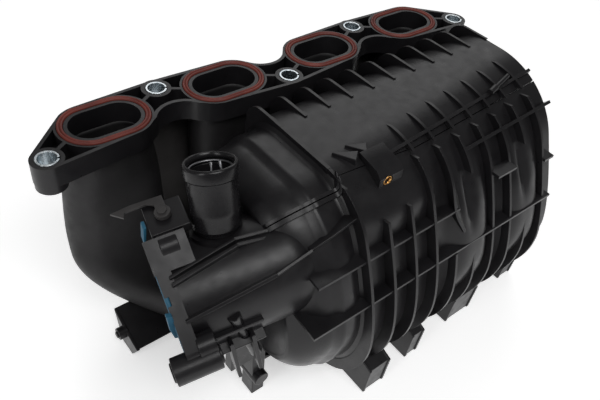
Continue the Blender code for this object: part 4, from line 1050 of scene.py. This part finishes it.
def build_stub():
    """The hose socket, the seal on its floor and the wire clip in its groove."""
    matrix = frame_at(STUB_BASE, STUB_AXIS)
    head, mouth, bore = STUB_HEAD, STUB_LENGTH, SOCKET_RADIUS
    profile = [(12.8, 0.0), (13.1, 2.0), (14.2, 3.4), (14.2, 12.0), (14.4, 13.6), (head - 1.9, 14.8),
               (head - 1.6, mouth - 8.4), (head - 0.6, mouth - 7.6), (head - 0.4, mouth - 1.6),
               (head - 0.8, mouth - 0.5), (head - 1.5, mouth), (bore + 0.9, mouth), (bore, mouth - 1.2),
               (bore, mouth - 3.0), (bore + 1.5, mouth - 3.4), (bore + 1.5, mouth - 6.0), (bore, mouth - 6.4),
               (bore, SOCKET_FLOOR), (STUB_BORE, SOCKET_FLOOR - 1.0), (STUB_BORE, 0.0)]
    piece("hose_socket", [turned(profile, 96, matrix)], NYLON_GLOSS, 0.3, ["hose_stub"])
    ring = turned(arc(bore - 2.7, SOCKET_FLOOR + 2.7, 2.4, 0, 345, 23), 72, matrix)
    piece("socket_ring", [ring], BLUE, 0.0, ["socket_seal"])
    radius, height = bore - 0.2, mouth - 4.7
    points = [Vector((x, y, height)) for x, y in arc(0, 0, radius, 110, 430, 72)]
    first, last = points[0] + Vector((1.6, -2.2, 3.0)), points[-1] + Vector((-1.6, -2.2, 3.0))
    points = [first + Vector((0.4, 0.6, 5.0)), first] + points + [last, last + Vector((0.6, 1.8, 5.5))]
    points = [matrix @ p for p in points]
    rings = []
    for i, point in enumerate(points):
        heading = points[min(len(points) - 1, i + 1)] - points[max(0, i - 1)]
        local = frame_at(point, heading, Vector((0.05, 0.02, 1.0)))
        rings.append([tuple(local @ Vector((x, y, 0))) for x, y in arc(0, 0, 0.8, 0, 330, 11)])
    piece("retaining_wire", [loft(rings)], WIRE, 0.0, ["socket_clip"])


# ------------ stage
def soft_box(name, place, aim, width, height, power):
    """An area light at a place, aimed at a point."""
    light = bpy.data.lights.new(name, "AREA")
    light.shape = "RECTANGLE"
    light.size, light.size_y = width, height
    light.energy = power
    box = bpy.data.objects.new(name, light)
    box.location = place
    box.rotation_euler = (Vector(aim) - Vector(place)).to_track_quat("-Z", "Y").to_euler()
    bpy.context.scene.collection.objects.link(box)


def build_stage():
    """A pale floor, a dim world that the camera sees as white, and three soft boxes."""
    mesh = bpy.data.meshes.new("studio_floor")
    size = 6.0
    corners = [(-size, -size, 0), (size, -size, 0), (size, size, 0), (-size, size, 0)]
    mesh.from_pydata(corners, [], [[0, 1, 2, 3]])
    ground = bpy.data.objects.new("studio_floor", mesh)
    ground.location.z = CAD_BOX[0].z - 0.0004
    bpy.context.scene.collection.objects.link(ground)
    paper = bpy.data.materials.new("studio_paper")
    paper.use_nodes = True
    shader = paper.node_tree.nodes["Principled BSDF"]
    for name, value in (("Base Color", (0.93, 0.93, 0.93, 1.0)), ("Roughness", 0.9),
                        ("Specular IOR Level", 0.1), ("Emission Color", WHITE), ("Emission Strength", 0.50)):
        shader.inputs[name].default_value = value
    mesh.materials.append(paper)

    world = bpy.data.worlds.new("studio")
    bpy.context.scene.world = world
    world.use_nodes = True
    tree = world.node_tree
    backdrop = tree.nodes["Background"]
    backdrop.inputs["Color"].default_value = WHITE
    backdrop.inputs["Strength"].default_value = 1.0
    glow = node(tree, "ShaderNodeBackground", Color=WHITE, Strength=0.17)
    seen = tree.nodes.new("ShaderNodeLightPath")
    choose = tree.nodes.new("ShaderNodeMixShader")
    tree.links.new(seen.outputs["Is Camera Ray"], choose.inputs["Fac"])
    tree.links.new(glow.outputs["Background"], choose.inputs[1])
    tree.links.new(backdrop.outputs["Background"], choose.inputs[2])
    tree.links.new(choose.outputs["Shader"], tree.nodes["World Output"].inputs["Surface"])

    middle = (0.0, 0.0, 0.08)
    soft_box("rear_box", (0.80, 0.90, 1.15), middle, 1.3, 1.0, 5.5)
    soft_box("over_box", (-0.15, -0.80, 1.40), middle, 0.9, 0.6, 9.0)
    soft_box("left_box", (-1.15, -0.25, 0.75), middle, 0.3, 0.8, 3.0)


def build_camera():
    """The photo's camera, as solved from the flange's face."""
    data = bpy.data.cameras.new("view")
    data.lens, data.sensor_width = 39.47, 36.0
    data.clip_start, data.clip_end = 0.01, 50.0
    camera = bpy.data.objects.new("view", data)
    scene = bpy.context.scene
    scene.collection.objects.link(camera)
    # columns: the camera's right, up and backward directions
    place = Matrix(((0.778, 0.367, -0.509), (-0.619, 0.585, -0.524), (0.106, 0.723, 0.683))).to_4x4()
    place.translation = row((-251.5, -302.5, 243.0))
    camera.matrix_world = place
    scene.camera = camera
    scene.view_settings.view_transform = "Standard"


def main():
    """Plain looks for the CAD's nodes, the pieces that stand for them, the stage and the camera."""
    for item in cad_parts.values():
        item.data.materials.clear()
        item.data.materials.append(NYLON_MATT)
    build_flange()
    build_seals()
    build_limiters()
    build_runners()
    build_upper_shell()
    build_front_shell()
    build_duct()
    build_throttle_fittings()
    build_harness_clip()
    build_stub()
    build_stage()
    build_camera()


main()
